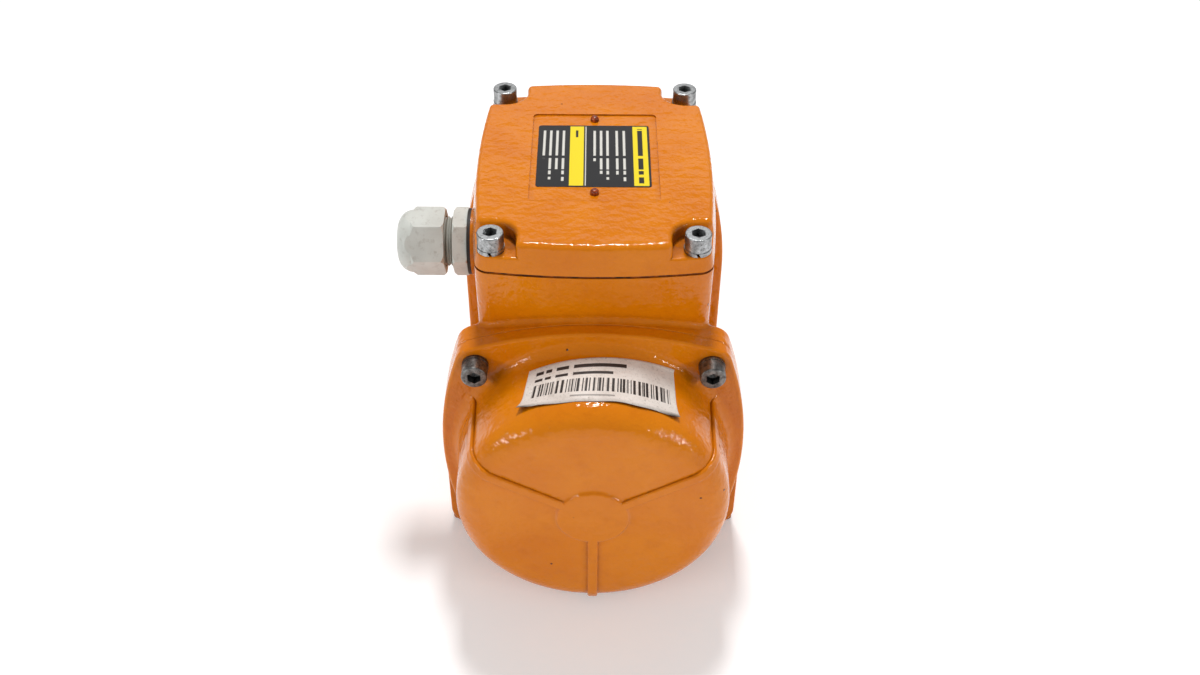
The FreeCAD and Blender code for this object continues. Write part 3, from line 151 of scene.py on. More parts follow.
def finish(name, sockets):
    """A new material with its shader's plain values: the material, its tree, its shader, and the place
    on the motor that its patterns follow."""
    mat = bpy.data.materials.new(name)
    mat.use_nodes = True
    shader = mat.node_tree.nodes["Principled BSDF"]
    feed(shader, sockets)
    return mat, mat.node_tree, shader, add(mat.node_tree, "TexCoord", {}, "Object")


def per(size):
    """Pattern scale for a pattern whose cells are this many millimetres across."""
    return 1 / (size * MM)


WAVE_2_MM = per(2 * math.pi)       # a wave turns 20 radians in each unit, so its bands come 2 mm apart


# ---- finishes ------------------------------------------------------------------------------------
def sprayed_enamel():
    """Gloss enamel sprayed thickly on cast aluminium. The eye sees deep orange under a wet skin whose peel
    and soft lumps break every highlight, brown grime with painted shade in the corners and a few specks of
    grit."""
    mat, tree, shader, at = finish("sprayed gloss enamel on cast aluminium",
                                   {"IOR": 1.48, "Specular IOR Level": 0.32, "Roughness": 0.2})
    cloud = add(tree, "TexNoise", {"Vector": at, "Scale": per(30), "Detail": 3})
    cloud = add(tree, "MapRange", {"Value": cloud, "From Min": 0.35, "From Max": 0.65})
    coat = add(tree, "Mix", {FAC: cloud, A: "#D47403", B: "#DC7E06"}, MIXED, data_type="RGBA")
    thin = add(tree, "TexNoise", {"Vector": at, "Scale": per(6), "Detail": 4, "Roughness": 0.6})
    thin = add(tree, "MapRange", {"Value": thin, "From Min": 0.52, "From Max": 0.8, "To Max": 0.35})
    coat = add(tree, "Mix", {FAC: thin, A: coat, B: "#C46404"}, MIXED, data_type="RGBA")
    # painted shade with grime: dark brown within 6 mm of screws, steps and joints, where the part shades
    # itself, thinned out in patches of 4 mm
    open_sky = add(tree, "AmbientOcclusion", {"Distance": 6 * MM}, "AO", samples=8)
    corner = add(tree, "MapRange", {"Value": open_sky, "From Min": 0.25, "From Max": 0.84,
                                    "To Min": 1, "To Max": 0})
    patch = add(tree, "TexNoise", {"Vector": at, "Scale": per(4), "Detail": 4, "Roughness": 0.6})
    patch = add(tree, "MapRange", {"Value": patch, "From Min": 0.34, "From Max": 0.6,
                                   "To Min": 0.3, "To Max": 0.95})
    dirt_and_shade = add(tree, "Math", {0: corner, 1: patch}, operation="MULTIPLY")
    coat = add(tree, "Mix", {FAC: dirt_and_shade, A: coat, B: "#602A0C"}, MIXED, data_type="RGBA")
    # grit of 0.7 to 1 mm sits under the coat, a few specks on each side of the motor
    grain = add(tree, "TexVoronoi", {"Vector": at, "Scale": per(11)})
    grit = add(tree, "MapRange", {"Value": grain, "From Min": 0.03, "From Max": 0.05,
                                  "To Min": 1, "To Max": 0})
    rare = add(tree, "TexNoise", {"Vector": at, "Scale": per(17), "Detail": 0})
    rare = add(tree, "MapRange", {"Value": rare, "From Min": 0.5, "From Max": 0.52})
    grit = add(tree, "Math", {0: grit, 1: rare}, operation="MULTIPLY")
    coat = add(tree, "Mix", {FAC: grit, A: coat, B: "#43200C"}, MIXED, data_type="RGBA")
    # the skin: lumps of 4 mm along the shaft by 7 mm across it, and peel of 2 mm from the gun
    stretched = add(tree, "Mapping", {"Vector": at, "Scale": (1.7, 0.95, 1.2)})
    lumps = add(tree, "TexNoise", {"Vector": stretched, "Scale": per(7), "Detail": 2, "Roughness": 0.45})
    peel = add(tree, "TexNoise", {"Vector": at, "Scale": per(2.1), "Detail": 2, "Roughness": 0.5})
    skin = add(tree, "Bump", {"Height": lumps, "Distance": 0.42 * MM})
    skin = add(tree, "Bump", {"Height": peel, "Distance": 0.28 * MM, "Normal": skin})
    skin = add(tree, "Bump", {"Height": grit, "Distance": 0.12 * MM, "Normal": skin})
    wet = add(tree, "MapRange", {"Value": dirt_and_shade, "To Min": 0.1, "To Max": 0.5})
    feed(shader, {"Base Color": coat, "Roughness": wet, "Normal": skin})
    return mat


def rivet_enamel():
    """Thin enamel over hammered rivets, worn to a dark red brown that is glossy at the crown."""
    mat, tree, shader, at = finish("thin enamel on steel rivets", {"IOR": 1.48, "Roughness": 0.3})
    worn = add(tree, "TexNoise", {"Vector": at, "Scale": per(1.2), "Detail": 3})
    worn = add(tree, "MapRange", {"Value": worn, "From Min": 0.35, "From Max": 0.6})
    coat = add(tree, "Mix", {FAC: worn, A: "#B04A12", B: "#5C1E0A"}, MIXED, data_type="RGBA")
    hammer = add(tree, "TexNoise", {"Vector": at, "Scale": per(0.9), "Detail": 2})
    skin = add(tree, "Bump", {"Height": hammer, "Distance": 0.06 * MM})
    feed(shader, {"Base Color": coat, "Normal": skin})
    return mat


def zinc_plate(name, bright, dull, rough):
    """Zinc-plated steel left outdoors. The eye sees a mottled grey metal, grit of half a millimetre in the
    plating, and painted black shade down in the sockets and under the heads."""
    mat, tree, shader, at = finish(name, {"Metallic": 1.0, "Roughness": rough})
    mottle = add(tree, "TexNoise", {"Vector": at, "Scale": per(2.2), "Detail": 5, "Roughness": 0.68})
    mottle = add(tree, "MapRange", {"Value": mottle, "From Min": 0.36, "From Max": 0.66})
    metal = add(tree, "Mix", {FAC: mottle, A: bright, B: dull}, MIXED, data_type="RGBA")
    grain = add(tree, "TexNoise", {"Vector": at, "Scale": per(0.55), "Detail": 3, "Roughness": 0.6})
    pits = add(tree, "MapRange", {"Value": grain, "From Min": 0.58, "From Max": 0.7, "To Max": 0.75})
    metal = add(tree, "Mix", {FAC: pits, A: metal, B: "#2B2622"}, MIXED, data_type="RGBA")
    # painted shade: near black within 3.2 mm of the sockets and the seats under the heads
    open_sky = add(tree, "AmbientOcclusion", {"Distance": 3.2 * MM}, "AO", samples=8)
    deep = add(tree, "MapRange", {"Value": open_sky, "From Min": 0.3, "From Max": 0.72,
                                  "To Min": 1, "To Max": 0})
    metal = add(tree, "Mix", {FAC: deep, A: metal, B: "#0E0C0B"}, MIXED, data_type="RGBA")
    gloss = add(tree, "MapRange", {"Value": mottle, "To Min": rough - 0.08, "To Max": rough + 0.16})
    skin = add(tree, "Bump", {"Height": grain, "Distance": 0.05 * MM})
    feed(shader, {"Base Color": metal, "Roughness": gloss, "Normal": skin})
    return mat


def ground_steel():
    """Ground bearing steel. The eye sees clean bright metal with fine rings round the shaft, drawn
    0.25 mm apart because the real ones are too fine to show."""
    mat, tree, shader, at = finish("ground bearing steel", {"Metallic": 1.0, "Roughness": 0.2})
    round_shaft = add(tree, "Mapping", {"Vector": at, "Scale": (16.0, 0.5, 0.5)})
    rings = add(tree, "TexNoise", {"Vector": round_shaft, "Scale": per(4), "Detail": 2})
    shade = add(tree, "MapRange", {"Value": rings, "From Min": 0.3, "From Max": 0.7})
    metal = add(tree, "Mix", {FAC: shade, A: "#C4C6C8", B: "#A4A7AA"}, MIXED, data_type="RGBA")
    skin = add(tree, "Bump", {"Height": rings, "Distance": 0.006 * MM})
    feed(shader, {"Base Color": metal, "Normal": skin})
    return mat


def stamped_laminations():
    """Stamped electrical steel under varnish. The eye sees thin dark sheets edge on, drawn 2 mm apart
    because the real ones, of 0.5 mm, are too fine to show."""
    mat, tree, shader, at = finish("varnished stamped electrical steel",
                                   {"Metallic": 0.7, "Roughness": 0.42})
    sheets = add(tree, "TexWave", {"Vector": at, "Scale": WAVE_2_MM, "Distortion": 0.3}, "Fac",
                 bands_direction="X")
    shade = add(tree, "MapRange", {"Value": sheets, "From Min": 0.1, "From Max": 0.5})
    metal = add(tree, "Mix", {FAC: shade, A: "#26282B", B: "#5E6165"}, MIXED, data_type="RGBA")
    skin = add(tree, "Bump", {"Height": sheets, "Distance": 0.05 * MM})
    feed(shader, {"Base Color": metal, "Normal": skin})
    return mat


def wound_copper():
    """Enamelled copper wire wound and varnished. The eye sees bundled red-brown strands under a clear
    glossy skin, drawn 2 mm apart because the real wire, of 0.6 mm, is too fine to show."""
    mat, tree, shader, at = finish("varnished copper winding",
                                   {"Metallic": 0.5, "Roughness": 0.3,
                                    "Coat Weight": 0.6, "Coat Roughness": 0.15})
    lay = add(tree, "Mapping", {"Vector": at, "Scale": (0.35, 1.0, 1.0)})
    strands = add(tree, "TexWave", {"Vector": lay, "Scale": WAVE_2_MM, "Distortion": 2.5}, "Fac",
                  wave_type="RINGS", rings_direction="X")
    shade = add(tree, "MapRange", {"Value": strands, "From Min": 0.2, "From Max": 0.7})
    wire = add(tree, "Mix", {FAC: shade, A: "#64280F", B: "#B8602C"}, MIXED, data_type="RGBA")
    skin = add(tree, "Bump", {"Height": strands, "Distance": 0.25 * MM})
    feed(shader, {"Base Color": wire, "Normal": skin})
    return mat


def cast_aluminium():
    """Bare die-cast aluminium. The eye sees a pale satin metal with a 1.5 mm grain from the die."""
    mat, tree, shader, at = finish("bare die-cast aluminium", {"Metallic": 0.95, "Roughness": 0.42})
    grain = add(tree, "TexNoise", {"Vector": at, "Scale": per(1.5), "Detail": 4, "Roughness": 0.6})
    shade = add(tree, "MapRange", {"Value": grain, "From Min": 0.3, "From Max": 0.7})
    metal = add(tree, "Mix", {FAC: shade, A: "#BEC0C1", B: "#989A9C"}, MIXED, data_type="RGBA")
    skin = add(tree, "Bump", {"Height": grain, "Distance": 0.05 * MM})
    feed(shader, {"Base Color": metal, "Normal": skin})
    return mat


def rolled_plate():
    """Oiled plate steel, laser cut. The eye sees dark grey with mill scale in 8 mm patches."""
    mat, tree, shader, at = finish("oiled rolled steel plate", {"Metallic": 0.85, "Roughness": 0.4})
    scale = add(tree, "TexNoise", {"Vector": at, "Scale": per(8), "Detail": 4, "Roughness": 0.6})
    shade = add(tree, "MapRange", {"Value": scale, "From Min": 0.35, "From Max": 0.65})
    metal = add(tree, "Mix", {FAC: shade, A: "#706E6B", B: "#454140"}, MIXED, data_type="RGBA")
    grain = add(tree, "TexNoise", {"Vector": at, "Scale": per(1.0), "Detail": 3})
    skin = add(tree, "Bump", {"Height": grain, "Distance": 0.03 * MM})
    feed(shader, {"Base Color": metal, "Normal": skin})
    return mat


def nitrile_rubber(name, dust_colour, most):
    """Moulded nitrile rubber. The eye sees matt black, with dust or overspray in 3 mm patches."""
    mat, tree, shader, at = finish(name, {"IOR": 1.52, "Roughness": 0.62})
    dust = add(tree, "TexNoise", {"Vector": at, "Scale": per(3), "Detail": 4, "Roughness": 0.6})
    dust = add(tree, "MapRange", {"Value": dust, "From Min": 0.38, "From Max": 0.66, "To Max": most})
    black = add(tree, "Mix", {FAC: dust, A: "#14100D", B: dust_colour}, MIXED, data_type="RGBA")
    grain = add(tree, "TexNoise", {"Vector": at, "Scale": per(0.8), "Detail": 2})
    skin = add(tree, "Bump", {"Height": grain, "Distance": 0.03 * MM})
    feed(shader, {"Base Color": black, "Normal": skin})
    return mat


def grey_polyamide():
    """Moulded polyamide of a cable gland. The eye sees a warm light grey with a faint sheen, scuffs of 3
    mm and painted brown shade between its flats."""
    mat, tree, shader, at = finish("moulded grey polyamide", {"IOR": 1.53, "Roughness": 0.42})
    cloud = add(tree, "TexNoise", {"Vector": at, "Scale": per(9), "Detail": 3})
    cloud = add(tree, "MapRange", {"Value": cloud, "From Min": 0.3, "From Max": 0.7})
    tone = add(tree, "Mix", {FAC: cloud, A: "#D3D5CE", B: "#C5C6BF"}, MIXED, data_type="RGBA")
    scuff = add(tree, "TexNoise", {"Vector": at, "Scale": per(3.2), "Detail": 5, "Roughness": 0.7})
    scuff = add(tree, "MapRange", {"Value": scuff, "From Min": 0.54, "From Max": 0.74, "To Max": 0.6})
    tone = add(tree, "Mix", {FAC: scuff, A: tone, B: "#9A9184"}, MIXED, data_type="RGBA")
    # painted shade: brown within 3 mm of the corners between the flats
    open_sky = add(tree, "AmbientOcclusion", {"Distance": 3 * MM}, "AO", samples=8)
    corner = add(tree, "MapRange", {"Value": open_sky, "From Min": 0.2, "From Max": 0.7,
                                    "To Min": 0.9, "To Max": 0})
    tone = add(tree, "Mix", {FAC: corner, A: tone, B: "#6F6454"}, MIXED, data_type="RGBA")
    grain = add(tree, "TexNoise", {"Vector": at, "Scale": per(1.0), "Detail": 3})
    skin = add(tree, "Bump", {"Height": grain, "Distance": 0.03 * MM})
    feed(shader, {"Base Color": tone, "Normal": skin})
    return mat


def natural_polyamide():
    """Uncoloured moulded polyamide. The eye sees waxy off-white with a soft sheen."""
    mat, tree, shader, at = finish("moulded natural polyamide",
                                   {"IOR": 1.53, "Roughness": 0.4, "Subsurface Weight": 0.05})
    cloud = add(tree, "TexNoise", {"Vector": at, "Scale": per(5), "Detail": 2})
    cloud = add(tree, "MapRange", {"Value": cloud, "From Min": 0.3, "From Max": 0.7})
    wax = add(tree, "Mix", {FAC: cloud, A: "#E6E2D8", B: "#D8D3C6"}, MIXED, data_type="RGBA")
    grain = add(tree, "TexNoise", {"Vector": at, "Scale": per(1.2), "Detail": 2})
    skin = add(tree, "Bump", {"Height": grain, "Distance": 0.02 * MM})
    feed(shader, {"Base Color": wax, "Normal": skin})
    return mat


def moulded_thermoset():
    """Compression-moulded thermoset of a terminal block. The eye sees brown-black with flow marks."""
    mat, tree, shader, at = finish("compression-moulded thermoset", {"IOR": 1.56, "Roughness": 0.38})
    flow = add(tree, "TexNoise", {"Vector": at, "Scale": per(4), "Detail": 3, "Distortion": 1.0})
    flow = add(tree, "MapRange", {"Value": flow, "From Min": 0.3, "From Max": 0.7})
    resin = add(tree, "Mix", {FAC: flow, A: "#211B17", B: "#362C25"}, MIXED, data_type="RGBA")
    grain = add(tree, "TexNoise", {"Vector": at, "Scale": per(0.9), "Detail": 3})
    skin = add(tree, "Bump", {"Height": grain, "Distance": 0.03 * MM})
    feed(shader, {"Base Color": resin, "Normal": skin})
    return mat


def turned_brass():
    """Turned brass. The eye sees warm yellow metal with fine tool rings, dulled in patches."""
    mat, tree, shader, at = finish("turned brass", {"Metallic": 1.0, "Roughness": 0.26})
    dull = add(tree, "TexNoise", {"Vector": at, "Scale": per(3), "Detail": 3})
    dull = add(tree, "MapRange", {"Value": dull, "From Min": 0.3, "From Max": 0.7})
    metal = add(tree, "Mix", {FAC: dull, A: "#C9A455", B: "#A67E3A"}, MIXED, data_type="RGBA")
    up_stud = add(tree, "Mapping", {"Vector": at, "Scale": (1, 1, 8)})
    rings = add(tree, "TexNoise", {"Vector": up_stud, "Scale": per(2), "Detail": 2})
    skin = add(tree, "Bump", {"Height": rings, "Distance": 0.01 * MM})
    feed(shader, {"Base Color": metal, "Normal": skin})
    return mat


def dress_nodes():
    """Give every CAD node the finish of its material slot in the record."""
    finishes = {
        "orange_enamel": sprayed_enamel(),
        "rivet_enamel": rivet_enamel(),
        "zinc_steel": zinc_plate("zinc-plated steel", "#B9BBBC", "#7D7E7E", 0.32),
        "dark_zinc_steel": zinc_plate("weathered zinc-plated steel", "#8C8C8A", "#4E4C4A", 0.38),
        "ground_steel": ground_steel(),
        "lamination_steel": stamped_laminations(),
        "copper_winding": wound_copper(),
        "cast_aluminium": cast_aluminium(),
        "weight_steel": rolled_plate(),
        "black_rubber": nitrile_rubber("moulded nitrile rubber", "#3A2C20", 0.5),
        "grey_polyamide": grey_polyamide(),
        "white_polyamide": natural_polyamide(),
        "black_moulding": moulded_thermoset(),
        "brass": turned_brass(),
    }
    for part in frame["record"]["subparts"]:
        for slot in frame["nodes"][part["node"]].material_slots:
            slot.material = finishes[part["material_slot"]]
    # the lid was sprayed in place, so the edge of its gasket carries the coat in patches
    overspray = nitrile_rubber("oversprayed nitrile rubber", "#B0560C", 0.9)
    for slot in frame["nodes"]["lid_gasket"].material_slots:
        slot.material = overspray


# ---- printed pieces: plain bands, bars and ruled lines -------------------------------------------
def between(tree, value, low, high, soft=0.1):
    """1 where a length in millimetres lies between two places, 0 elsewhere, with soft ends."""
    up = add(tree, "MapRange", {"Value": value, "From Min": low - soft, "From Max": low + soft})
    down = add(tree, "MapRange", {"Value": value, "From Min": high - soft, "From Max": high + soft,
                                  "To Min": 1, "To Max": 0})
    return add(tree, "Math", {0: up, 1: down}, operation="MULTIPLY")


def ruled(tree, along, across, rows):
    """Rows of plain dashes: each row is (place across, thickness, start, end)."""
    dash = add(tree, "TexNoise", {"W": along, "Scale": 1 / DASH_PITCH, "Detail": 0}, noise_dimensions="1D")
    gaps = add(tree, "MapRange", {"Value": dash, "From Min": 0.36, "From Max": 0.38})
    ink = None
    for place, thick, start, end in rows:
        row = between(tree, across, place - thick / 2, place + thick / 2)
        row = add(tree, "Math", {0: row, 1: between(tree, along, start, end)}, operation="MULTIPLY")
        ink = row if ink is None else add(tree, "Math", {0: ink, 1: row}, operation="MAXIMUM")
    return add(tree, "Math", {0: ink, 1: gaps}, operation="MULTIPLY")


def flat_places(tree, vector, scale):
    """The first two parts of a vector, scaled to millimetres."""
    scaled = add(tree, "VectorMath", {0: vector, "Scale": scale}, operation="SCALE")
    first = add(tree, "SeparateXYZ", {"Vector": scaled}, "X")
    return first, first.node.outputs["Y"]


def printed_vinyl():
    """Printed vinyl: the eye sees satin black with two flat yellow bands, pale rows of plain dashes,
    and a faint ripple where the film has settled on the casting."""
    mat, tree, shader, at = finish("printed satin vinyl",
                                   {"IOR": 1.5, "Specular IOR Level": 0.3, "Roughness": 0.3})
    x, y = flat_places(tree, at, 1 / MM)
    x0, x1 = STICKER_MID_X - STICKER_L / 2, STICKER_MID_X + STICKER_L / 2
    worn = add(tree, "TexNoise", {"Vector": at, "Scale": per(1.6), "Detail": 4, "Roughness": 0.6})
    worn = add(tree, "MapRange", {"Value": worn, "From Min": 0.6, "From Max": 0.75, "To Max": 0.25})
    black = add(tree, "Mix", {FAC: worn, A: "#161518", B: "#35322F"}, MIXED, data_type="RGBA")
    inside = between(tree, x, x0 + STICKER_MARGIN, x1 - STICKER_MARGIN)
    upper, lower = (between(tree, y, *band) for band in STICKER_BANDS)
    band = add(tree, "Math", {0: upper, 1: lower}, operation="MAXIMUM")
    band = add(tree, "Math", {0: band, 1: inside}, operation="MULTIPLY")
    face = add(tree, "Mix", {FAC: band, A: black, B: "#F0D606"}, MIXED, data_type="RGBA")
    rows = [(place, PALE_DASH_T, x0 + PALE_INDENT, x1 - short) for place, short in PALE_ROWS]
    pale = ruled(tree, x, y, rows)
    rule = add(tree, "Math", {0: between(tree, y, *STICKER_RULE), 1: inside}, operation="MULTIPLY")
    pale = add(tree, "Math", {0: pale, 1: rule}, operation="MAXIMUM")
    face = add(tree, "Mix", {FAC: pale, A: face, B: "#D6D3CB"}, MIXED, data_type="RGBA")
    rows = [(place, thick, x0 + start, x0 + end) for place, thick, start, end in DARK_ROWS]
    dark = ruled(tree, x, y, rows)
    face = add(tree, "Mix", {FAC: dark, A: face, B: "#1A1712"}, MIXED, data_type="RGBA")
    ripple = add(tree, "TexNoise", {"Vector": at, "Scale": per(7), "Detail": 2})
    skin = add(tree, "Bump", {"Height": ripple, "Distance": 0.06 * MM})
    feed(shader, {"Base Color": face, "Normal": skin})
    return mat


def label_paper():
    """Coated label paper. The eye sees off-white gone grey with handling, fine black soil ground into
    its grain, and plain print: two rows of dashes, a field of bars and a faint row under them."""
    mat, tree, shader, at = finish("coated label paper", {"IOR": 1.45, "Roughness": 0.5})
    along, across = flat_places(tree, add(tree, "UVMap", {}, uv_map="paper"), UV_MM)
    cloud = add(tree, "TexNoise", {"Vector": at, "Scale": per(10), "Detail": 4})
    cloud = add(tree, "MapRange", {"Value": cloud, "From Min": 0.3, "From Max": 0.7})
    paper = add(tree, "Mix", {FAC: cloud, A: "#EAE4DD", B: "#D6CEC6"}, MIXED, data_type="RGBA")
    soil = add(tree, "TexNoise", {"Vector": at, "Scale": per(2.6), "Detail": 5, "Roughness": 0.7})
    soil = add(tree, "MapRange", {"Value": soil, "From Min": 0.54, "From Max": 0.74, "To Max": 0.5})
    paper = add(tree, "Mix", {FAC: soil, A: paper, B: "#A39686"}, MIXED, data_type="RGBA")
    speck = add(tree, "TexNoise", {"Vector": at, "Scale": per(0.7), "Detail": 3, "Roughness": 0.7})
    speck = add(tree, "MapRange", {"Value": speck, "From Min": 0.6, "From Max": 0.67, "To Max": 0.5})
    paper = add(tree, "Mix", {FAC: speck, A: paper, B: "#6E665E"}, MIXED, data_type="RGBA")
    rows = ruled(tree, along, across, LABEL_ROWS)
    bars = add(tree, "TexNoise", {"W": along, "Scale": 1 / BAR_PITCH, "Detail": 1}, noise_dimensions="1D")
    bars = add(tree, "MapRange", {"Value": bars, "From Min": 0.49, "From Max": 0.52})
    length, height = between(tree, along, *LABEL_BARS_ALONG), between(tree, across, *LABEL_BARS_ACROSS)
    field = add(tree, "Math", {0: length, 1: height}, operation="MULTIPLY")
    bars = add(tree, "Math", {0: bars, 1: field}, operation="MULTIPLY")
    ink = add(tree, "Math", {0: rows, 1: bars}, operation="MAXIMUM")
    faint = ruled(tree, along, across, [LABEL_FAINT_ROW])
    faint = add(tree, "Math", {0: faint, 1: 0.55}, operation="MULTIPLY")
    ink = add(tree, "Math", {0: ink, 1: faint}, operation="MAXIMUM")
    face = add(tree, "Mix", {FAC: ink, A: paper, B: "#211D1C"}, MIXED, data_type="RGBA")
    # darker along the last 2 mm of the loose front edge, heaviest at its two curled corners
    edge = between(tree, across, LABEL_W - DARK_EDGE_W, LABEL_W + 1, 0.9)
    left = between(tree, along, -1, DARK_LEFT_L, 2)
    right = between(tree, along, LABEL_L - DARK_RIGHT_L, LABEL_L + 1, 3)
    ends = add(tree, "Math", {0: left, 1: right}, operation="MAXIMUM")
    ends = add(tree, "MapRange", {"Value": ends, "To Min": 0.3, "To Max": 0.92})
    darkened = add(tree, "Math", {0: edge, 1: ends}, operation="MULTIPLY")
    face = add(tree, "Mix", {FAC: darkened, A: face, B: "#3A332C"}, MIXED, data_type="RGBA")
    grain = add(tree, "TexNoise", {"Vector": at, "Scale": per(1.2), "Detail": 3})
    skin = add(tree, "Bump", {"Height": grain, "Distance": 0.05 * MM})
    feed(shader, {"Base Color": face, "Normal": skin})
    return mat


def dark_label_back():
    """The back of the label where it has let go, coloured dark grey-brown in blotches of 1.4 mm."""
    mat, tree, shader, at = finish("dark label back", {"IOR": 1.48, "Roughness": 0.6})
    blotches = add(tree, "TexNoise", {"Vector": at, "Scale": per(1.4), "Detail": 4, "Roughness": 0.7})
    shade = add(tree, "MapRange", {"Value": blotches, "From Min": 0.35, "From Max": 0.65})
    back = add(tree, "Mix", {FAC: shade, A: "#2E2822", B: "#5C5246"}, MIXED, data_type="RGBA")
    skin = add(tree, "Bump", {"Height": blotches, "Distance": 0.05 * MM})
    feed(shader, {"Base Color": back, "Normal": skin})
    return mat


# ---- meshes --------------------------------------------------------------------------------------
def mesh_piece(name, verts, faces, materials):
    """A smooth mesh from points in millimetres, added to the scene with its finishes."""
    mesh = bpy.data.meshes.new(name)
    mesh.from_pydata([Vector(v) * MM for v in verts], [], faces)
    for poly in mesh.polygons:
        poly.use_smooth = True
    for material in materials:
        mesh.materials.append(material)
    piece = bpy.data.objects.new(name, mesh)
    bpy.context.scene.collection.objects.link(piece)
    return piece


def thicken(piece, thickness, **settings):
    """Give a sheet its thickness in millimetres, outwards."""
    solid = piece.modifiers.new("thickness", "SOLIDIFY")
    solid.thickness = thickness * MM
    solid.offset = 1.0
    for key, value in settings.items():
        setattr(solid, key, value)


def round_off(piece, width, segments, **settings):
    """Round a piece's edges, or its corners, by this many millimetres."""
    bevel = piece.modifiers.new("rounding", "BEVEL")
    bevel.width = width * MM
    bevel.segments = segments
    for key, value in settings.items():
        setattr(bevel, key, value)


def lid_sticker():
    """Vinyl sticker with rounded corners, between the two rivets of the lid."""
    x0, x1 = STICKER_MID_X - STICKER_L / 2, STICKER_MID_X + STICKER_L / 2
    y0, y1 = STICKER_MID_Y - STICKER_W / 2, STICKER_MID_Y + STICKER_W / 2
    corners = [(x0, y0, FIELD_Z), (x1, y0, FIELD_Z), (x1, y1, FIELD_Z), (x0, y1, FIELD_Z)]
    piece = mesh_piece("lid_sticker", corners, [(0, 1, 2, 3)], [printed_vinyl()])
    piece.data.polygons[0].use_smooth = False
    round_off(piece, STICKER_CORNER_R, 6, affect="VERTICES")
    thicken(piece, STICKER_T)
    round_off(piece, STICKER_T / 4, 2)
    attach(piece, "frame_body")


def dome_radius(x):
    """Outer radius of the dome at a place along the shaft, with its rounded root and shoulder."""
    fillet, edge = DOME_ROOT_FILLET, DOME_EDGE_R
    root = FLANGE_X + fillet - x
    if root > 0:
        return DOME_ROOT_R + fillet - math.sqrt(fillet ** 2 - min(root, fillet) ** 2)
    start = DOME_X - edge
    side = -root / (start - FLANGE_X - fillet)
    if side < 1:
        return DOME_ROOT_R + (DOME_R - DOME_ROOT_R) * side
    return DOME_R - edge + math.sqrt(edge ** 2 - min(x - start, edge) ** 2)


def through(ends, u):
    """Smooth value through the three given at u = 0, 1/2 and 1."""
    a, b, c = ends
    return a * (1 - u) * (1 - 2 * u) + 4 * b * u * (1 - u) + c * u * (2 * u - 1)


def label_lift(u, v):
    """How far the paper stands off the dome: stuck at the back, wavy and loose along its front edge,
    with both front corners curled up."""
    loose = max(0.0, (v - 0.6) / 0.4) ** 2
    wave = 0.4 + 0.38 * math.sin(2 * math.pi * (u * 1.6 + 0.15))
    left = max(0.0, 1 - u / 0.1) ** 1.5
    right = max(0.0, 1 - (1 - u) / 0.13) ** 1.5
    return LABEL_GLUE_T + loose * (wave + 1.8 * left + 1.6 * right)


def dome_label():
    """Paper label wrapped over the top of the front dome, as a thin sheet with its own print places."""
    columns, rows = 96, 32
    verts, places = [], []
    for j in range(rows + 1):
        v = j / rows
        left = LABEL_LEFT[0] + (LABEL_LEFT[1] - LABEL_LEFT[0]) * v
        right = LABEL_RIGHT[0] + (LABEL_RIGHT[1] - LABEL_RIGHT[0]) * v
        for i in range(columns + 1):
            u = i / columns
            back, front = through(LABEL_BACK_X, u), through(LABEL_FRONT_X, u)
            frayed = LABEL_RAGGED * v ** 6 * (1 + math.sin(19 * u) * math.sin(7 * u))
            x = back + (front - back) * v - frayed
            turn = math.radians(left + (right - left) * u)
            r = dome_radius(x) + label_lift(u, v)
            verts.append((x, r * math.sin(turn), AXIS_Z + r * math.cos(turn)))
            places.append((u * LABEL_L / UV_MM, v * LABEL_W / UV_MM))
    step = columns + 1
    faces = [(j * step + i, (j + 1) * step + i, (j + 1) * step + i + 1, j * step + i + 1)
             for j in range(rows) for i in range(columns)]
    piece = mesh_piece("dome_label", verts, faces, [label_paper(), dark_label_back()])
    layer = piece.data.uv_layers.new(name="paper")
    for loop in piece.data.loops:
        layer.data[loop.index].uv = places[loop.vertex_index]
    thicken(piece, LABEL_T, material_offset=1, material_offset_rim=0)
    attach(piece, "frame_body")


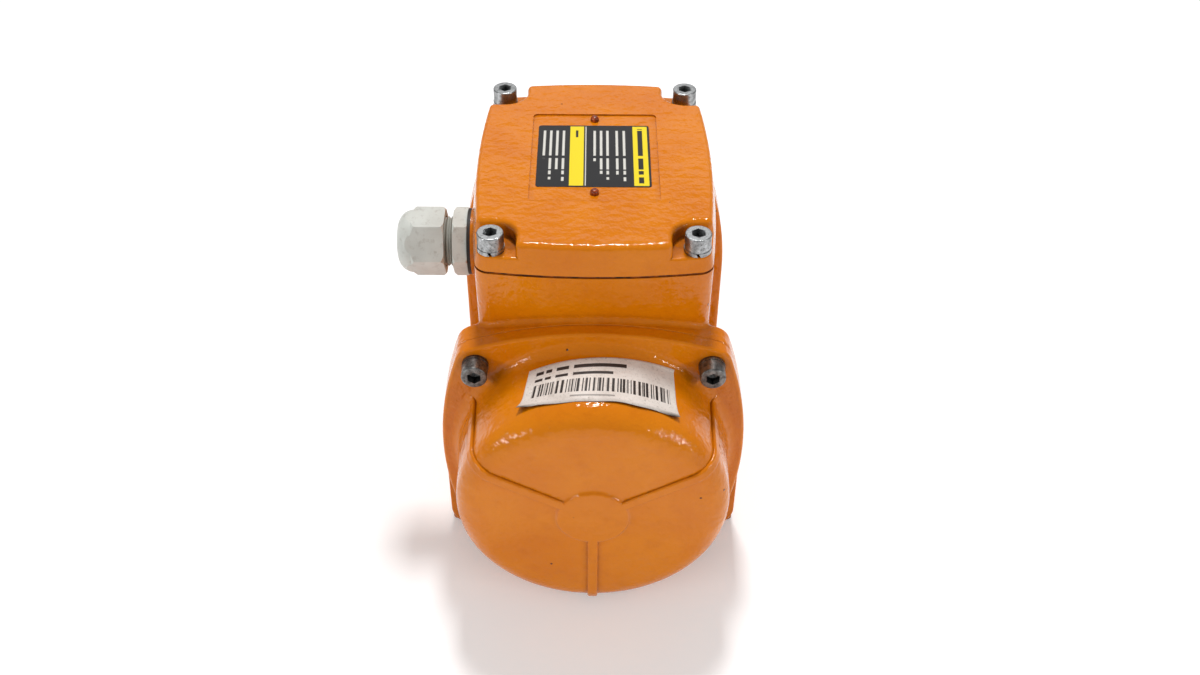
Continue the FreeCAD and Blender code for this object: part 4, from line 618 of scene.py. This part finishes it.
# ---- stage, lamps and camera ---------------------------------------------------------------------
def studio_floor():
    """Matt white card, wide enough to fill the view."""
    mat, tree, shader, at = finish("matt white card", {"Roughness": 0.9, "Specular IOR Level": 0.1})
    fibre = add(tree, "TexNoise", {"Vector": at, "Scale": per(40), "Detail": 3})
    card = add(tree, "Mix", {FAC: fibre, A: "#F7F7F7", B: "#F4F4F5"}, MIXED, data_type="RGBA")
    # the card shows a little brighter than it lights the part, so that it looks white
    camera_ray = add(tree, "LightPath", {}, "Is Camera Ray")
    rays = camera_ray.node.outputs
    seen = add(tree, "Math", {0: camera_ray, 1: rays["Is Glossy Ray"]}, operation="MAXIMUM")
    seen = add(tree, "Math", {0: seen, 1: rays["Is Transmission Ray"]}, operation="MAXIMUM")
    lift = add(tree, "Math", {0: seen, 1: FLOOR_LIFT}, operation="MULTIPLY")
    feed(shader, {"Base Color": card, "Emission Color": "#FFFFFF", "Emission Strength": lift})
    corners = [(x * FLOOR_HALF, y * FLOOR_HALF, FLOOR_Z) for x, y in ((-1, -1), (1, -1), (1, 1), (-1, 1))]
    piece = mesh_piece("floor", corners, [(0, 1, 2, 3)], [mat])


def soft_box(name, place, size, power):
    """A rectangular lamp that faces the middle of the part; place and size in metres."""
    light = bpy.data.lights.new(name, "AREA")
    light.shape = "RECTANGLE"
    light.size, light.size_y = size
    light.energy = power
    lamp = bpy.data.objects.new(name, light)
    lamp.location = place
    towards = Vector((0, 0, AXIS_Z * MM)) - Vector(place)
    lamp.rotation_euler = towards.to_track_quat("-Z", "Y").to_euler()
    bpy.context.scene.collection.objects.link(lamp)


def studio():
    """White room light and four soft boxes, with the plain colour view."""
    world = bpy.data.worlds.new("studio")
    world.use_nodes = True
    feed(world.node_tree.nodes["Background"], {"Color": (1, 1, 1, 1), "Strength": 0.32})
    bpy.context.scene.world = world
    soft_box("overhead soft box", (-0.4, 0.0, 1.15), (0.16, 0.18), 8.5)
    soft_box("left soft box", (0.8, -1.1, 0.5), (0.7, 0.06), 6)
    soft_box("right soft box", (0.8, 1.1, 0.5), (0.7, 0.06), 6)
    soft_box("back soft box", (-1.1, 0.0, 0.75), (1.2, 0.35), 1.1)
    bpy.context.scene.view_settings.view_transform = "Standard"


def camera():
    """The camera, in front of the dome and above it, looking down along the shaft."""
    data = bpy.data.cameras.new("camera")
    data.sensor_width = 36.0
    data.lens = CAM_LENS
    data.shift_x, data.shift_y = CAM_SHIFT
    data.clip_start = 0.01
    down, yaw, roll = (math.radians(a) for a in (CAM_DOWN, CAM_YAW, CAM_ROLL))
    ahead = Vector((-math.cos(down) * math.cos(yaw), math.cos(down) * math.sin(yaw), -math.sin(down)))
    right = Matrix.Rotation(-roll, 3, ahead) @ ahead.cross(Vector((0, 0, 1))).normalized()
    up = right.cross(ahead)
    cam = bpy.data.objects.new("camera", data)
    turned = Matrix((right, up, -ahead)).transposed().to_4x4()
    cam.matrix_world = Matrix.Translation(Vector(CAM_PLACE) * MM) @ turned
    bpy.context.scene.collection.objects.link(cam)
    bpy.context.scene.camera = cam


camera()
dress_nodes()
lid_sticker()
dome_label()
studio_floor()
studio()
